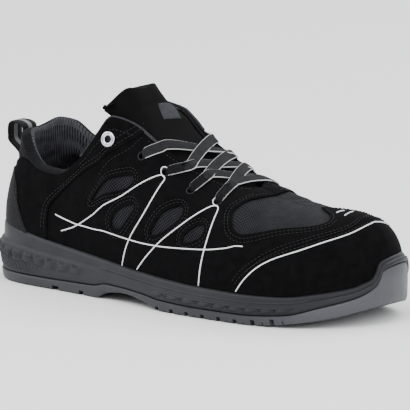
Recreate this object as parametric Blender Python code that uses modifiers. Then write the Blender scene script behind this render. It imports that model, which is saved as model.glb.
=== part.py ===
"""A low safety sneaker for the right foot, built as its maker puts it together.

Metres, +Z up. The toe points to +X and the foot's outer side faces -Y. The origin lies on the floor
under the middle of the heel. Everything is worked out from the sizes below and from short tables of
stations that run round the last.
"""
import math

import bmesh
import bpy
import numpy as np
from mathutils import Matrix, Vector

# Driving sizes
MM = 0.001
LAST_LENGTH = 0.287        # the last's own outline, heel back to toe tip
BALL_WIDTH = 0.1025        # the last's own outline across the ball
HEEL_RIM = 0.040           # floor to the midsole's rim at the heel
INSTEP_TOP = 0.118         # floor to the top of the lacing panels
HEEL_SEAT = 0.046          # the origin, from the last's heel back

# Sole
LUG_DEPTH = 3.0 * MM
TRAY_WALL = 2.4 * MM       # the outsole's rim and toe bumper
LIP = 2.4 * MM             # the midsole's rim round the upper
LIP_DROP = 0.8 * MM        # how far the lip's top lies under the upper's overlays
BLOCK_STAND = 0.9 * MM     # how far the side's blocks stand out
BLOCK_ROOT = 3.0 * MM      # how far they reach into it
BLOCK_SHARE = 0.62         # a block's length, as a share of the distance between two
OUTSOLE_STEP = 0.6 * MM    # how far the outsole stands proud of the midsole
TREAD_TUCK = 2.0 * MM      # how far the tread's edge lies inside the outsole's side
INSOLE_THICK = 4.5 * MM
INSOLE_CLEARANCE = 0.6 * MM

# Upper
WALL = 2.2 * MM
COLLAR_PAD = 6.5 * MM      # padded collar's full thickness
OVERLAY = 1.3 * MM         # suede laid over the upper
LIFT = 0.5 * MM            # from the upper to what is laid over it
GAP = 0.3 * MM             # between pieces that touch
SEAM = 0.6 * MM            # between two overlays that lie side by side
STRAP_THICK = 1.0 * MM
STRAP_WIDTHS = (56.0 * MM, 34.0 * MM)   # at the midsole and at the top
STRAP_TOP = 73.0 * MM
TONGUE_THICK = 6.0 * MM
TONGUE_EDGE = 2.5 * MM
TONGUE_CLEARANCE = 1.3 * MM
TONGUE_REACH = 15.0 * MM   # how far the tongue's free end rises
TONGUE_LEAN = 13.0 * MM    # how far its middle leans back over that
TONGUE_WRAP = 14.0 * MM    # how much further back its sides reach, round the shin
TONGUE_SPREAD = 5.0 * MM   # how far its sides open outwards at the top
TONGUE_SHOULDER = 0.55     # how far its corners are rounded off, as a share of the rise
TONGUE_SQUARE = 5          # how late the rounding starts: 2 is round, 6 nearly square
TONGUE_WING = 0.16         # how far it reaches under each side, as a share of the wall's height
TONGUE_FULLNESS = 0.14     # how high it arches across the throat

# Lacing
LACE_WIDTH = 7.5 * MM
LACE_THICK = 1.6 * MM
LACE_CLEARANCE = 1.6 * MM  # more room under a flat lace, for the curve of the panel below it
LACE_STEP = 0.4 * MM       # a strand that crosses over another is raised by this
LACE_FULLNESS = 0.08       # how high a strand arches across the throat
LACE_HOLE_R = 2.6 * MM
EYELET_HOLE_R = 2.3 * MM
EYELET_BARREL_R = 2.9 * MM
EYELET_FLANGE_R = 5.2 * MM
EYELET_FLANGE = 1.2 * MM

# Pull loop and back strap
LOOP_WIDTH = 14.5 * MM
LOOP_THICK = 1.6 * MM
LOOP_STAND = 14.0 * MM     # how far the loop stands off behind the rim's middle
LOOP_FOOT = 77.0 * MM      # floor to where the loop leaves the heel
LOOP_SEWN = 8.0 * MM       # how much of it is sewn down at each end
LOOP_RISE = 2.0 * MM       # how far its top stands above the rim
LOOP_DROP = 3.0 * MM       # from the rim down to where its front end is sewn on
LOOP_CLEARANCE = 0.3 * MM  # for the heel's curve under the flat loop

# How fine the facets are
COLUMNS = (11, 8, 8)        # from heel to lacing corner, along the lacing, and round the toe
LIP_ROWS = 2               # up the midsole's lip
ROWS = (0.0, 0.2, 0.4, 0.6, 0.78, 0.92, 1.0)   # from the lip to the edge or ridge
PAD_ROWS = (0, 0, 0, 0, 0.05, 0.35, 0.8, 1.0, 0.35)   # the collar's padding, row by row
PAD_FADE = (58, 71)        # stations where the padding starts to thin and where it ends
LADDER = 3                 # across the sole's flat faces
JOIN = 1e-6                # points closer than this are one
HOLE_SIDES = 8
HOLE_DEPTH = 14.0 * MM
EYELET_SIDES = 12
WINDOW_SIDES = 12
LACE_STEPS = 5
LACE_RUN = 2
TONGUE_TURNS = (125, 121, 117, 112, 107, 102, 97, 92, 88, 84)
TONGUE_BEND = 80           # the station where the tongue's free end starts
TONGUE_SHARES = (0.25, 0.5, 0.75, 0.92, 1.0)
TONGUE_ACROSS = (-1.0, -0.85, -0.7, -0.5, -0.25, 0.0, 0.25, 0.5, 0.7, 0.85, 1.0)
SIDES = {-1: "outer", 1: "inner"}


class Table:
    """Rows of named columns, read smoothly between rows by the first column."""

    def __init__(self, names, rows):
        self.names = names.split()
        self.rows = np.array(rows, float)

    def at(self, key, name):
        keys = self.rows[:, 0]
        values = self.rows[:, self.names.index(name)]
        key = min(max(key, keys[0]), keys[-1])
        i = min(int(np.searchsorted(keys, key, side="right")) - 1, len(keys) - 2)
        steps = np.diff(keys)
        slopes = np.diff(values) / steps
        before, after = slopes[:-1], slopes[1:]
        rising = before * after > 0
        inner = np.where(rising, 2 * before * after / np.where(rising, before + after, 1.0), 0.0)
        slopes = np.concatenate([slopes[:1], inner, slopes[-1:]])
        t = (key - keys[i]) / steps[i]
        start, end = slopes[i] * steps[i], slopes[i + 1] * steps[i]
        return (
            (2 * t**3 - 3 * t**2 + 1) * values[i]
            + (t**3 - 2 * t**2 + t) * start
            + (3 * t**2 - 2 * t**3) * values[i + 1]
            + (t**3 - t**2) * end
        )


# The last's outline seen from above. turn runs round it in degrees, from 0 at the heel's back to 180
# at the toe's tip, and a station lies (1 - cos turn) / 2 of the way along. The halves are shares of
# the ball width, measured from the heel's centre line; a negative one crosses that line.
PLAN = Table(
    "turn outer inner",
    [
        (0, 0.000, 0.000),
        (10, 0.127, 0.127),
        (20, 0.244, 0.244),
        (30, 0.322, 0.322),
        (40, 0.356, 0.356),
        (50, 0.366, 0.351),
        (60, 0.378, 0.337),
        (75, 0.415, 0.327),
        (90, 0.475, 0.361),
        (105, 0.507, 0.444),
        (120, 0.502, 0.498),
        (135, 0.449, 0.488),
        (150, 0.312, 0.424),
        (160, 0.180, 0.341),
        (170, 0.034, 0.234),
        (180, -0.107, 0.107),
    ],
)

# Heights round the sole, as shares of the heel rim's height: the midsole's rim, the bed that the
# upper and insole stand on, the border between outsole and midsole, the tray's floor and the tread.
HEIGHTS = Table(
    "turn rim bed border tray tread",
    [
        (0, 1.000, 0.680, 0.200, 0.165, 0.070),
        (10, 0.995, 0.680, 0.185, 0.145, 0.040),
        (20, 0.980, 0.680, 0.175, 0.115, 0.000),
        (30, 0.940, 0.665, 0.170, 0.115, 0.000),
        (40, 0.875, 0.630, 0.170, 0.115, 0.000),
        (50, 0.800, 0.570, 0.170, 0.115, 0.000),
        (60, 0.740, 0.510, 0.180, 0.115, 0.000),
        (70, 0.680, 0.450, 0.200, 0.115, 0.000),
        (75, 0.650, 0.420, 0.260, 0.200, 0.120),
        (82, 0.605, 0.390, 0.255, 0.215, 0.165),
        (89, 0.575, 0.370, 0.225, 0.185, 0.110),
        (95, 0.550, 0.355, 0.180, 0.115, 0.000),
        (110, 0.510, 0.335, 0.160, 0.115, 0.000),
        (122, 0.505, 0.335, 0.160, 0.115, 0.000),
        (132, 0.510, 0.360, 0.185, 0.145, 0.030),
        (145, 0.550, 0.420, 0.260, 0.220, 0.110),
        (155, 0.610, 0.480, 0.350, 0.290, 0.180),
        (162, 0.700, 0.530, 0.470, 0.345, 0.240),
        (168, 0.840, 0.580, 0.600, 0.395, 0.290),
        (174, 0.960, 0.610, 0.690, 0.425, 0.325),
        (180, 1.000, 0.620, 0.720, 0.435, 0.340),
    ],
)

# Where the upper's edge or ridge lies above each station: along is a share of the length, the halves
# are shares of the ball width from the ridge line, and the heights are shares of the instep's top.
# lean is the wall's slope there, from 0 upright to 90 flat; low and high are how full it is.
TOPLINE = Table(
    "turn along outer outer_z inner inner_z lean low high",
    [
        (0, 0.020, 0.000, 0.808, 0.000, 0.808, 4, 0.40, 0.35),
        (10, 0.026, 0.090, 0.812, 0.090, 0.818, 4, 0.40, 0.35),
        (20, 0.045, 0.172, 0.800, 0.172, 0.835, 4, 0.40, 0.35),
        (30, 0.080, 0.235, 0.720, 0.235, 0.820, 5, 0.40, 0.35),
        (40, 0.125, 0.270, 0.655, 0.270, 0.745, 7, 0.42, 0.36),
        (50, 0.180, 0.290, 0.648, 0.290, 0.700, 8, 0.44, 0.38),
        (60, 0.240, 0.295, 0.730, 0.295, 0.760, 10, 0.46, 0.40),
        (68, 0.290, 0.280, 0.880, 0.280, 0.885, 18, 0.50, 0.45),
        (74, 0.325, 0.250, 0.980, 0.250, 1.000, 28, 0.52, 0.48),
        (80, 0.385, 0.205, 0.935, 0.220, 0.985, 42, 0.54, 0.50),
        (85, 0.420, 0.205, 0.885, 0.215, 0.935, 50, 0.55, 0.50),
        (90, 0.455, 0.200, 0.832, 0.205, 0.865, 55, 0.56, 0.50),
        (100, 0.535, 0.185, 0.742, 0.188, 0.762, 60, 0.58, 0.52),
        (110, 0.600, 0.155, 0.682, 0.158, 0.692, 68, 0.60, 0.54),
        (116, 0.645, 0.105, 0.655, 0.105, 0.658, 78, 0.62, 0.56),
        (120, 0.670, 0.000, 0.640, 0.000, 0.640, 90, 0.62, 0.56),
        (130, 0.725, 0.000, 0.600, 0.000, 0.600, 90, 0.64, 0.56),
        (142, 0.785, 0.000, 0.580, 0.000, 0.580, 90, 0.68, 0.60),
        (154, 0.840, 0.000, 0.573, 0.000, 0.573, 90, 0.74, 0.68),
        (166, 0.885, 0.000, 0.566, 0.000, 0.566, 90, 0.80, 0.74),
        (180, 0.910, 0.000, 0.558, 0.000, 0.558, 90, 0.82, 0.78),
    ],
)
CORNER, THROAT_END = 80, 120

# The ridge line's bend towards the big toe, as a share of the ball width.
RIDGE = Table(
    "along shift",
    [(0.0, 0.0), (0.30, 0.0), (0.55, 0.01), (0.75, 0.05), (0.90, 0.09), (1.0, 0.118)],
)

# How far the midsole's side stands out from its rim, in metres, from the border up.
SIDE = Table(
    "level flare",
    [
        (0.0, 2.2 * MM),
        (0.30, 3.6 * MM),
        (0.60, 3.2 * MM),
        (0.66, 1.6 * MM),
        (0.92, 1.2 * MM),
        (1.0, 0.0),
    ],
)
SIDE_LEVELS = (0.0, 0.30, 0.60, 0.66, 0.92, 1.0)
# Rows of raised blocks on the midsole's side, alike on both sides: their stations, how many there are,
# the middle and height of each as levels of the side, and how far its top leans to the toe, in turn.
BLOCKS = Table(
    "row first last count level height lean",
    [(1, 6, 66, 11, 0.42, 0.22, 0.0), (2, 92, 140, 9, 0.30, 0.24, 1.5)],
)


# Outlines seen from the side, as shares of the last's length and of the instep's top.
COUNTER_EDGE = [
    (0.172, 0.10),
    (0.172, 0.322),
    (0.169, 0.388),
    (0.170, 0.449),
    (0.185, 0.508),
    (0.219, 0.572),
    (0.247, 0.650),
    (0.270, 0.702),
    (0.285, 0.745),
]
CUFF_EDGE = [
    (0.258, 0.745),
    (0.243, 0.715),
    (0.192, 0.622),
    (0.154, 0.597),
    (0.120, 0.611),
    (0.084, 0.645),
    (0.039, 0.635),
    (-0.10, 0.635),
]
COUNTER = COUNTER_EDGE + CUFF_EDGE + [(-0.10, 0.10)]
TOE_CAP_EDGE = [
    (0.727, 0.10),
    (0.733, 0.21),
    (0.750, 0.285),
    (0.777, 0.345),
]
QUARTER_TOP = [(0.292, 0.790), (0.310, 0.870), (0.328, 0.930), (0.336, 1.10), (0.664, 1.10)]
QUARTER_FRONT = [
    (0.664, 0.640),
    (0.676, 0.605),
    (0.669, 0.565),
    (0.680, 0.520),
    (0.696, 0.475),
    (0.718, 0.440),
    (0.745, 0.400),
]
# Mesh windows in the quarter: their middle, length and width as shares, and their tilt.
WINDOWS = Table(
    "number along up length width tilt",
    [
        (1, 0.350, 0.595, 0.112, 0.110, 34),
        (2, 0.402, 0.474, 0.076, 0.085, 38),
        (3, 0.529, 0.476, 0.082, 0.096, 48),
        (4, 0.610, 0.436, 0.056, 0.062, 36),
    ],
)
# Lace holes from the top down, both sides alike, and the stations where the strands that leave them
# pass the throat's edge on either side.
EYELETS = Table(
    "number turn rise outer_edge inner_edge",
    [
        (1, 73.0, 0.875, 80.0, 80.0),
        (2, 83.0, 0.830, 89.5, 93.0),
        (3, 92.0, 0.815, 99.0, 100.0),
        (4, 101.0, 0.780, 105.5, 107.5),
        (5, 111.0, 0.755, 113.5, 115.0),
    ],
)
# Grooves across the tread: their place along it and their width, as shares of the length.
GROOVES = Table(
    "number along width tilt",
    [
        (1, 0.208, 0.020, 0),
        (2, 0.288, 0.014, 0),
        (3, 0.560, 0.010, -8),
        (4, 0.605, 0.010, -8),
        (5, 0.650, 0.010, -8),
        (6, 0.695, 0.010, -8),
        (7, 0.740, 0.010, -8),
        (8, 0.785, 0.010, -8),
        (9, 0.830, 0.010, -8),
        (10, 0.875, 0.010, -8),
    ],
)
TOE_CAP = TOE_CAP_EDGE + [
    (0.809, 0.398),
    (0.846, 0.445),
    (0.879, 0.470),
    (0.919, 0.508),
    (0.932, 0.530),
    (0.937, 0.60),
    (1.10, 0.60),
    (1.10, 0.10),
]


def outline(turn, grow=0.0):
    """A point of the last's outline, moved out by grow. Negative turns are the foot's outer side."""
    def raw(angle):
        angle = (angle + 180.0) % 360.0 - 180.0
        side = "outer" if angle < 0 else "inner"
        x = LAST_LENGTH * (1 - math.cos(math.radians(angle))) / 2 - HEEL_SEAT
        half = PLAN.at(abs(angle), side) * BALL_WIDTH
        return np.array([x, -half if angle < 0 else half])

    ahead, behind = raw(turn + 0.5), raw(turn - 0.5)
    along = (ahead - behind) / np.linalg.norm(ahead - behind)
    normal = np.array([-along[1], along[0]])
    return raw(turn) + normal * grow, normal


def height(turn, name):
    return HEIGHTS.at(abs(turn), name) * HEEL_RIM


def top_point(turn):
    """The upper's edge or ridge above a station."""
    key = abs(turn)
    side = "outer" if turn < 0 or key >= THROAT_END else "inner"
    along = TOPLINE.at(key, "along")
    half = TOPLINE.at(key, side) * BALL_WIDTH if key < THROAT_END else 0.0
    y = RIDGE.at(along, "shift") * BALL_WIDTH + (-half if turn < 0 else half)
    return np.array([along * LAST_LENGTH - HEEL_SEAT, y, TOPLINE.at(key, side + "_z") * INSTEP_TOP])


def upper_point(turn, rise):
    """The upper's outer face: rise 0 at the bed, 1 at the edge or ridge."""
    foot, normal = outline(turn)
    foot = np.array([foot[0], foot[1], height(turn, "bed") + GAP])
    top = top_point(turn)
    normal = np.array([normal[0], normal[1], 0.0])
    run = np.array([foot[0] - top[0], foot[1] - top[1], 0.0])
    reach = np.linalg.norm(run)
    away = run + normal * 4 * MM
    away /= np.linalg.norm(away)
    climb = top[2] - foot[2]
    lean = math.radians(TOPLINE.at(abs(turn), "lean"))
    up = np.array([0.0, 0.0, 1.0])
    low = foot + (up + normal * 0.16) * climb * TOPLINE.at(abs(turn), "low")
    high = top + (away * reach * math.sin(lean) * 1.1 - up * climb * math.cos(lean)) * TOPLINE.at(
        abs(turn), "high"
    )
    q = 1 - rise
    return q**3 * foot + 3 * q**2 * rise * low + 3 * q * rise**2 * high + rise**3 * top


def upper_normal(turn, rise):
    """The outward direction of the upper's outer face."""
    e, f = 0.6, 0.01
    lo, hi = max(rise - f, 0.0), min(rise + f, 1.0)
    climb = upper_point(turn, hi) - upper_point(turn, lo)
    round_ = upper_point(turn + e, rise) - upper_point(turn - e, rise)
    if abs(abs(turn) - THROAT_END) < 1.0:
        round_ = upper_point(turn + 2 * e, rise) - upper_point(turn - 2 * e, rise)
    normal = np.cross(climb, round_)
    size = np.linalg.norm(normal)
    if size < 1e-12:
        return np.array([0.0, 0.0, 1.0])
    return normal / size


def on_upper(turn, rise, lift):
    """A point that stands off the upper's outer face by lift."""
    return upper_point(turn, rise) + upper_normal(turn, rise) * lift


def rise_at(turn, z):
    """The rise at which the upper's outer face reaches the height z."""
    low, high = 0.0, 1.0
    for _ in range(24):
        middle = (low + high) / 2
        if upper_point(turn, middle)[2] < z:
            low = middle
        else:
            high = middle
    return low


def half_turns():
    """Stations from the heel's back to the toe's tip."""
    heel, lacing, toe = COLUMNS
    turns = list(np.linspace(0, CORNER, heel + 1))
    turns += list(np.linspace(CORNER, THROAT_END, lacing + 1))[1:]
    turns += list(np.linspace(THROAT_END, 180, toe + 1))[1:]
    return [float(turn) for turn in turns]


HALF = half_turns()
TURNS = [-turn for turn in HALF[-2:0:-1]] + HALF     # once round the shoe, closed


def rises(turn):
    """Heights of the upper's rows at a station: up the lip, then on to the edge or ridge."""
    rim = rise_at(turn, height(turn, "rim"))
    below = [rim * row / LIP_ROWS for row in range(LIP_ROWS)]
    return below + [rim + (1 - rim) * share for share in ROWS]


# Blender's side: objects, materials and the few ways that the meshes are made


def clear_scene():
    for obj in list(bpy.data.objects):
        bpy.data.objects.remove(obj, do_unlink=True)


def linear(value):
    return value / 12.92 if value <= 0.04045 else ((value + 0.055) / 1.055) ** 2.4


def material(name, colour, roughness, metallic=0.0):
    made = bpy.data.materials.new(name)
    made.use_nodes = True
    shader = made.node_tree.nodes["Principled BSDF"]
    rgb = [linear(int(colour[i : i + 2], 16) / 255) for i in (1, 3, 5)]
    shader.inputs["Base Color"].default_value = (*rgb, 1.0)
    shader.inputs["Roughness"].default_value = roughness
    shader.inputs["Metallic"].default_value = metallic
    return made


class Workshop:
    """The two collections, and how an object gets into them."""

    def __init__(self):
        self.parts = bpy.data.collections.new("safety_sneaker")
        self.cutters = bpy.data.collections.new("cutters")
        for collection in (self.parts, self.cutters):
            bpy.context.scene.collection.children.link(collection)

    def add(self, name, bm, finish=None):
        """An object in the parts' collection or, with no finish, a cutter."""
        mesh = bpy.data.meshes.new(name)
        bm.to_mesh(mesh)
        bm.free()
        obj = bpy.data.objects.new(name, mesh)
        (self.parts if finish else self.cutters).objects.link(obj)
        if finish:
            mesh.materials.append(finish)
            mesh.shade_smooth()
        else:
            obj.hide_render = True
            obj.display_type = "WIRE"
        return obj


def boolean(obj, cutter, operation="DIFFERENCE"):
    modifier = obj.modifiers.new(cutter.name, "BOOLEAN")
    modifier.operation = operation
    modifier.solver = "EXACT"
    modifier.object = cutter


def solidify(obj, thickness, offset, least=None):
    """A wall on an open surface. least is the share of thickness where the vertex group is 0."""
    modifier = obj.modifiers.new("wall", "SOLIDIFY")
    modifier.thickness = thickness
    modifier.offset = offset
    modifier.use_quality_normals = True
    if least is not None:
        modifier.vertex_group = "padding"
        modifier.thickness_vertex_group = least


def grid(bm, rows, closed=False):
    """Faces between rows of points of one length. The first side of a face runs along its row."""
    made = [[bm.verts.new(point) for point in row] for row in rows]
    for low, high in zip(made, made[1:]):
        last = len(low) if closed else len(low) - 1
        for i in range(last):
            j = (i + 1) % len(low)
            bm.faces.new((low[i], high[i], high[j], low[j]))
    return made


def ladder(bm, ring):
    """Closes a ring of the stations with rungs from the outer side to the inner side."""
    middle = len(HALF) - 2
    rungs = [[ring[middle]]]
    for step in range(1, len(HALF) - 1):
        start, end = ring[middle - step], ring[middle + step]
        between = [
            bm.verts.new(start.co.lerp(end.co, share / LADDER)) for share in range(1, LADDER)
        ]
        rungs.append([start] + between + [end])
    rungs.append([ring[-1]])
    for low, high in zip(rungs, rungs[1:]):
        for i in range(LADDER):
            corners = [low[min(i, len(low) - 1)], low[min(i + 1, len(low) - 1)]]
            corners += [high[min(i + 1, len(high) - 1)], high[min(i, len(high) - 1)]]
            bm.faces.new(list(dict.fromkeys(corners)))


def ring_body(rings):
    """A closed body of rings round the shoe, capped by rungs at both ends."""
    bm = bmesh.new()
    made = grid(bm, rings, closed=True)
    ladder(bm, made[0])
    ladder(bm, made[-1])
    bmesh.ops.recalc_face_normals(bm, faces=bm.faces)
    return bm


# The sole, from the floor up


def side_edge(turn, z, out):
    """A point at the height z that stands out from the upper's outer face."""
    point = upper_point(turn, rise_at(turn, z))
    normal = outline(turn)[1]
    return np.array([point[0] + normal[0] * out, point[1] + normal[1] * out, z])


def side_ring(z_name, out, up=0.0):
    """A ring whose height is one of the sole's and whose plan is the midsole's rim, grown by out."""
    ring = []
    for turn in TURNS:
        point = side_edge(turn, height(turn, "rim"), GAP + LIP + out)
        ring.append((point[0], point[1], height(turn, z_name) + up))
    return ring


def midsole(shop, finish):
    """The cushioning layer: a lip that holds the upper, a flared side and a foot bed."""
    tuck = -(TRAY_WALL + GAP)
    flare = SIDE.at(0.0, "flare") + OUTSOLE_STEP
    rings = [
        side_ring("tray", flare + tuck, GAP),
        side_ring("border", flare + tuck, GAP),
    ]
    for level in SIDE_LEVELS:
        rings.append([side_point(turn, level, 0.0) for turn in TURNS])
    for row in (2, 1, 0):
        ring = []
        for turn in TURNS:
            rise = rises(turn)[row]
            point = upper_point(turn, rise)
            normal = outline(turn)[1]
            drop = LIP_DROP if row == 2 else 0.0
            z = height(turn, "bed") if row == 0 else point[2] - drop
            ring.append((point[0] + normal[0] * GAP, point[1] + normal[1] * GAP, z))
        rings.append(ring)
    obj = shop.add("midsole", ring_body(rings), finish)
    boolean(obj, shop.add("side_blocks", side_blocks()), "UNION")


def side_point(turn, level, out):
    """A point that stands out from the midsole's side by out, at a level between border and rim."""
    low = height(turn, "border") + GAP
    high = height(turn, "rim") - LIP_DROP
    point = side_edge(turn, height(turn, "rim"), GAP + LIP + SIDE.at(level, "flare") + out)
    return (point[0], point[1], low + (high - low) * level)


def side_blocks():
    """The rows of raised blocks, as separate bodies that reach into the midsole."""
    section = ((-1, -BLOCK_ROOT), (-1, BLOCK_STAND), (1, BLOCK_STAND), (1, -BLOCK_ROOT))
    bm = bmesh.new()
    for row in BLOCKS.rows:
        first, last, count, level, tall, lean = row[1:]
        pitch = (last - first) / count
        for side in (-1, 1):
            for number in range(int(count)):
                middle = first + pitch * (number + 0.5)
                rings = []
                for end in (-1, 1):
                    ring = []
                    for up, out in section:
                        turn = middle + end * pitch * BLOCK_SHARE / 2 + up * lean / 2
                        ring.append(side_point(side * turn, level + up * tall / 2, out))
                    rings.append(ring)
                made = grid(bm, rings, closed=True)
                bm.faces.new(made[0])
                bm.faces.new(made[1][::-1])
    bmesh.ops.recalc_face_normals(bm, faces=bm.faces)
    return bm


def outsole(shop, finish):
    """The rubber tray with its toe bumper, before its tread is cut."""
    flare = SIDE.at(0.0, "flare") + OUTSOLE_STEP
    rings = [
        side_ring("tread", flare - TREAD_TUCK),
        side_ring("tread", flare - OUTSOLE_STEP, LUG_DEPTH / 2),
        side_ring("tray", flare),
        side_ring("border", flare),
        side_ring("border", flare - TRAY_WALL),
        side_ring("tray", flare - TRAY_WALL),
    ]
    return shop.add("outsole", ring_body(rings), finish)


def upper_surface(lift=0.0, first=0):
    """The upper's outer face as a grid, from its lowest row or from another, merged at the ridge."""
    bm = bmesh.new()
    padding = bm.verts.layers.deform.verify()
    columns = []
    for turn in TURNS:
        levels = rises(turn)[first:]
        columns.append([on_upper(turn, rise, lift) for rise in levels])
    made = grid(bm, list(zip(*columns)), closed=True)
    for i, row in enumerate(made):
        for turn, vert in zip(TURNS, row):
            vert[padding][0] = pad_share(turn, i + first)
    bmesh.ops.remove_doubles(bm, verts=bm.verts, dist=JOIN)
    bmesh.ops.triangulate(bm, faces=bm.faces, quad_method="FIXED")
    return bm


def pad_share(turn, row):
    """How much of the collar's padding the wall has at a station and row, from 0 to 1."""
    start, end = PAD_FADE
    along = min(max((end - abs(turn)) / (end - start), 0.0), 1.0)
    return along * PAD_ROWS[row]


def upper(shop, finish):
    """One hollow wall from the bed to the collar, open below, at the collar and down the throat."""
    obj = shop.add("upper", upper_surface(), finish)
    obj.vertex_groups.new(name="padding")
    solidify(obj, COLLAR_PAD, -1.0, WALL / COLLAR_PAD)
    return obj


def insole(shop, finish):
    """The removable sock that lies on the foot bed, inside the upper's wall."""
    inset = -(WALL + INSOLE_CLEARANCE)
    rings = []
    for z in (GAP, GAP + INSOLE_THICK):
        ring = []
        for turn in TURNS:
            x, y = outline(turn, inset)[0]
            ring.append((x, y, height(turn, "bed") + z))
        rings.append(ring)
    return shop.add("insole", ring_body(rings), finish)


def skin(shop, name, lift, finish, thick=OVERLAY, first=LIP_ROWS):
    """A second layer all over the upper, from which a piece is cut."""
    obj = shop.add(name, upper_surface(lift, first), finish)
    solidify(obj, thick, 1.0)
    return obj


def prism(shop, name, points, low, high):
    """A cutter across the shoe from low to high in y. Its outline is a list of (x, z)."""
    bm = bmesh.new()
    ends = [[bm.verts.new((x, y, z)) for x, z in points] for y in (low, high)]
    bm.faces.new(ends[0])
    bm.faces.new(ends[1][::-1])
    for i in range(len(points)):
        j = (i + 1) % len(points)
        bm.faces.new((ends[0][j], ends[0][i], ends[1][i], ends[1][j]))
    bmesh.ops.recalc_face_normals(bm, faces=bm.faces)
    return shop.add(name, bm)


def from_shares(points, shift=0.0):
    """Side-view points from shares of the sizes, moved along the shoe by shift."""
    return [(along * LAST_LENGTH - HEEL_SEAT + shift, up * INSTEP_TOP) for along, up in points]


def window_outline(number):
    """A drop shape that is blunt at its upper front end."""
    row = {name: WINDOWS.at(number, name) for name in WINDOWS.names}
    tilt = math.radians(row["tilt"])
    points = []
    for step in range(WINDOW_SIDES):
        angle = 2 * math.pi * step / WINDOW_SIDES
        reach = math.cos(angle) * row["length"] * LAST_LENGTH / 2
        wide = math.sin(angle) * (1 + 0.25 * math.cos(angle)) * row["width"] * INSTEP_TOP / 2
        x = row["along"] * LAST_LENGTH - HEEL_SEAT
        z = row["up"] * INSTEP_TOP
        x += reach * math.cos(tilt) - wide * math.sin(tilt)
        z += reach * math.sin(tilt) + wide * math.cos(tilt)
        points.append((x, z))
    return points


def frame_at(point, normal, along):
    """A matrix whose Z is normal and whose X follows along, with its origin at point."""
    z = Vector(normal).normalized()
    y = z.cross(Vector(along)).normalized()
    x = y.cross(z)
    matrix = Matrix((x, y, z)).transposed().to_4x4()
    matrix.translation = Vector(point)
    return matrix


def eyelet_place(side, number):
    """The eyelet's frame on the upper's outer face. Side is -1 on the foot's outer side."""
    turn = side * EYELETS.at(number, "turn")
    rise = EYELETS.at(number, "rise")
    return frame_at(upper_point(turn, rise), upper_normal(turn, rise), (1, 0, 0))


def hole_cutter(shop, side, number):
    radius = EYELET_BARREL_R + GAP if number == 1 else LACE_HOLE_R
    bm = bmesh.new()
    bmesh.ops.create_cone(
        bm,
        cap_ends=True,
        segments=HOLE_SIDES,
        radius1=radius,
        radius2=radius,
        depth=HOLE_DEPTH,
        matrix=eyelet_place(side, number),
    )
    return shop.add(f"hole_{SIDES[side]}_{number}", bm)


def eyelet(shop, side, finish):
    """The metal ring of the top hole: a rounded flange outside and a barrel through the wall."""
    base = LIFT + OVERLAY + GAP
    profile = [
        (EYELET_FLANGE_R, base),
        (EYELET_BARREL_R, base),
        (EYELET_BARREL_R, -WALL),
        (EYELET_HOLE_R, -WALL),
        (EYELET_HOLE_R, base + EYELET_FLANGE / 2),
        ((EYELET_HOLE_R + EYELET_FLANGE_R) / 2, base + EYELET_FLANGE),
        (EYELET_FLANGE_R, base + EYELET_FLANGE / 2),
    ]
    bm = bmesh.new()
    ring = [bm.verts.new((radius, 0, z)) for radius, z in profile]
    edges = [bm.edges.new((a, b)) for a, b in zip(ring, ring[1:] + ring[:1])]
    bmesh.ops.spin(
        bm,
        geom=ring + edges,
        cent=(0, 0, 0),
        axis=(0, 0, 1),
        angle=2 * math.pi,
        steps=EYELET_SIDES,
        use_merge=True,
    )
    bmesh.ops.recalc_face_normals(bm, faces=bm.faces)
    bm.transform(eyelet_place(side, 1))
    return shop.add(f"eyelet_{SIDES[side]}", bm, finish)


def quarters(shop, finish, holes, windows):
    """The suede side panels, with their mesh windows and lace holes cut through."""
    points = from_shares(COUNTER_EDGE, SEAM) + from_shares(QUARTER_TOP + QUARTER_FRONT)
    points += from_shares(TOE_CAP_EDGE[::-1], -SEAM)
    middle = RIDGE.at(QUARTER_TOP[-1][0], "shift") * BALL_WIDTH
    for side in (-1, 1):
        reach = (middle + side * SEAM, side * BALL_WIDTH)
        edge = prism(shop, f"quarter_{SIDES[side]}_outline", points, min(reach), max(reach))
        obj = skin(shop, f"quarter_{SIDES[side]}", LIFT, finish)
        boolean(obj, edge, "INTERSECT")
        for cutter in windows + holes[side]:
            boolean(obj, cutter)


def heel_pieces(shop, suede, textile):
    """The suede counter round the heel, and the textile strap sewn over it."""
    reach = (-BALL_WIDTH, BALL_WIDTH)
    counter = skin(shop, "heel_counter", LIFT, suede)
    boolean(counter, prism(shop, "heel_counter_outline", from_shares(COUNTER), *reach), "INTERSECT")
    strap = skin(shop, "back_strap", LIFT + OVERLAY + GAP, textile, STRAP_THICK)
    bm = bmesh.new()
    low, high = STRAP_WIDTHS
    shape = [(-low / 2, 0), (low / 2, 0), (high / 2, STRAP_TOP), (-high / 2, STRAP_TOP)]
    ends = [[bm.verts.new((x, y, z)) for y, z in shape] for x in (-BALL_WIDTH, -HEEL_SEAT / 4)]
    for end in ends:
        bm.faces.new(end)
    for i in range(4):
        j = (i + 1) % 4
        bm.faces.new((ends[0][i], ends[0][j], ends[1][j], ends[1][i]))
    bmesh.ops.recalc_face_normals(bm, faces=bm.faces)
    boolean(strap, shop.add("back_strap_outline", bm), "INTERSECT")


# What crosses the throat


def bridge(turn_outer, turn_inner, share, lift, fullness):
    """A point over the throat, from the outer edge at share 0 to the inner edge at share 1."""
    ends, pulls = [], []
    for turn in (turn_outer, turn_inner):
        edge = on_upper(turn, 1.0, lift)
        ends.append(edge)
        pull = upper_point(turn, 1.0) - upper_point(turn, 0.97)
        pulls.append(pull / np.linalg.norm(pull))
    reach = np.linalg.norm(ends[1] - ends[0]) * fullness
    a, b = ends[0] + pulls[0] * reach, ends[1] + pulls[1] * reach
    q = 1 - share
    return q**3 * ends[0] + 3 * q * q * share * a + 3 * q * share**2 * b + share**3 * ends[1]


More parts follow.
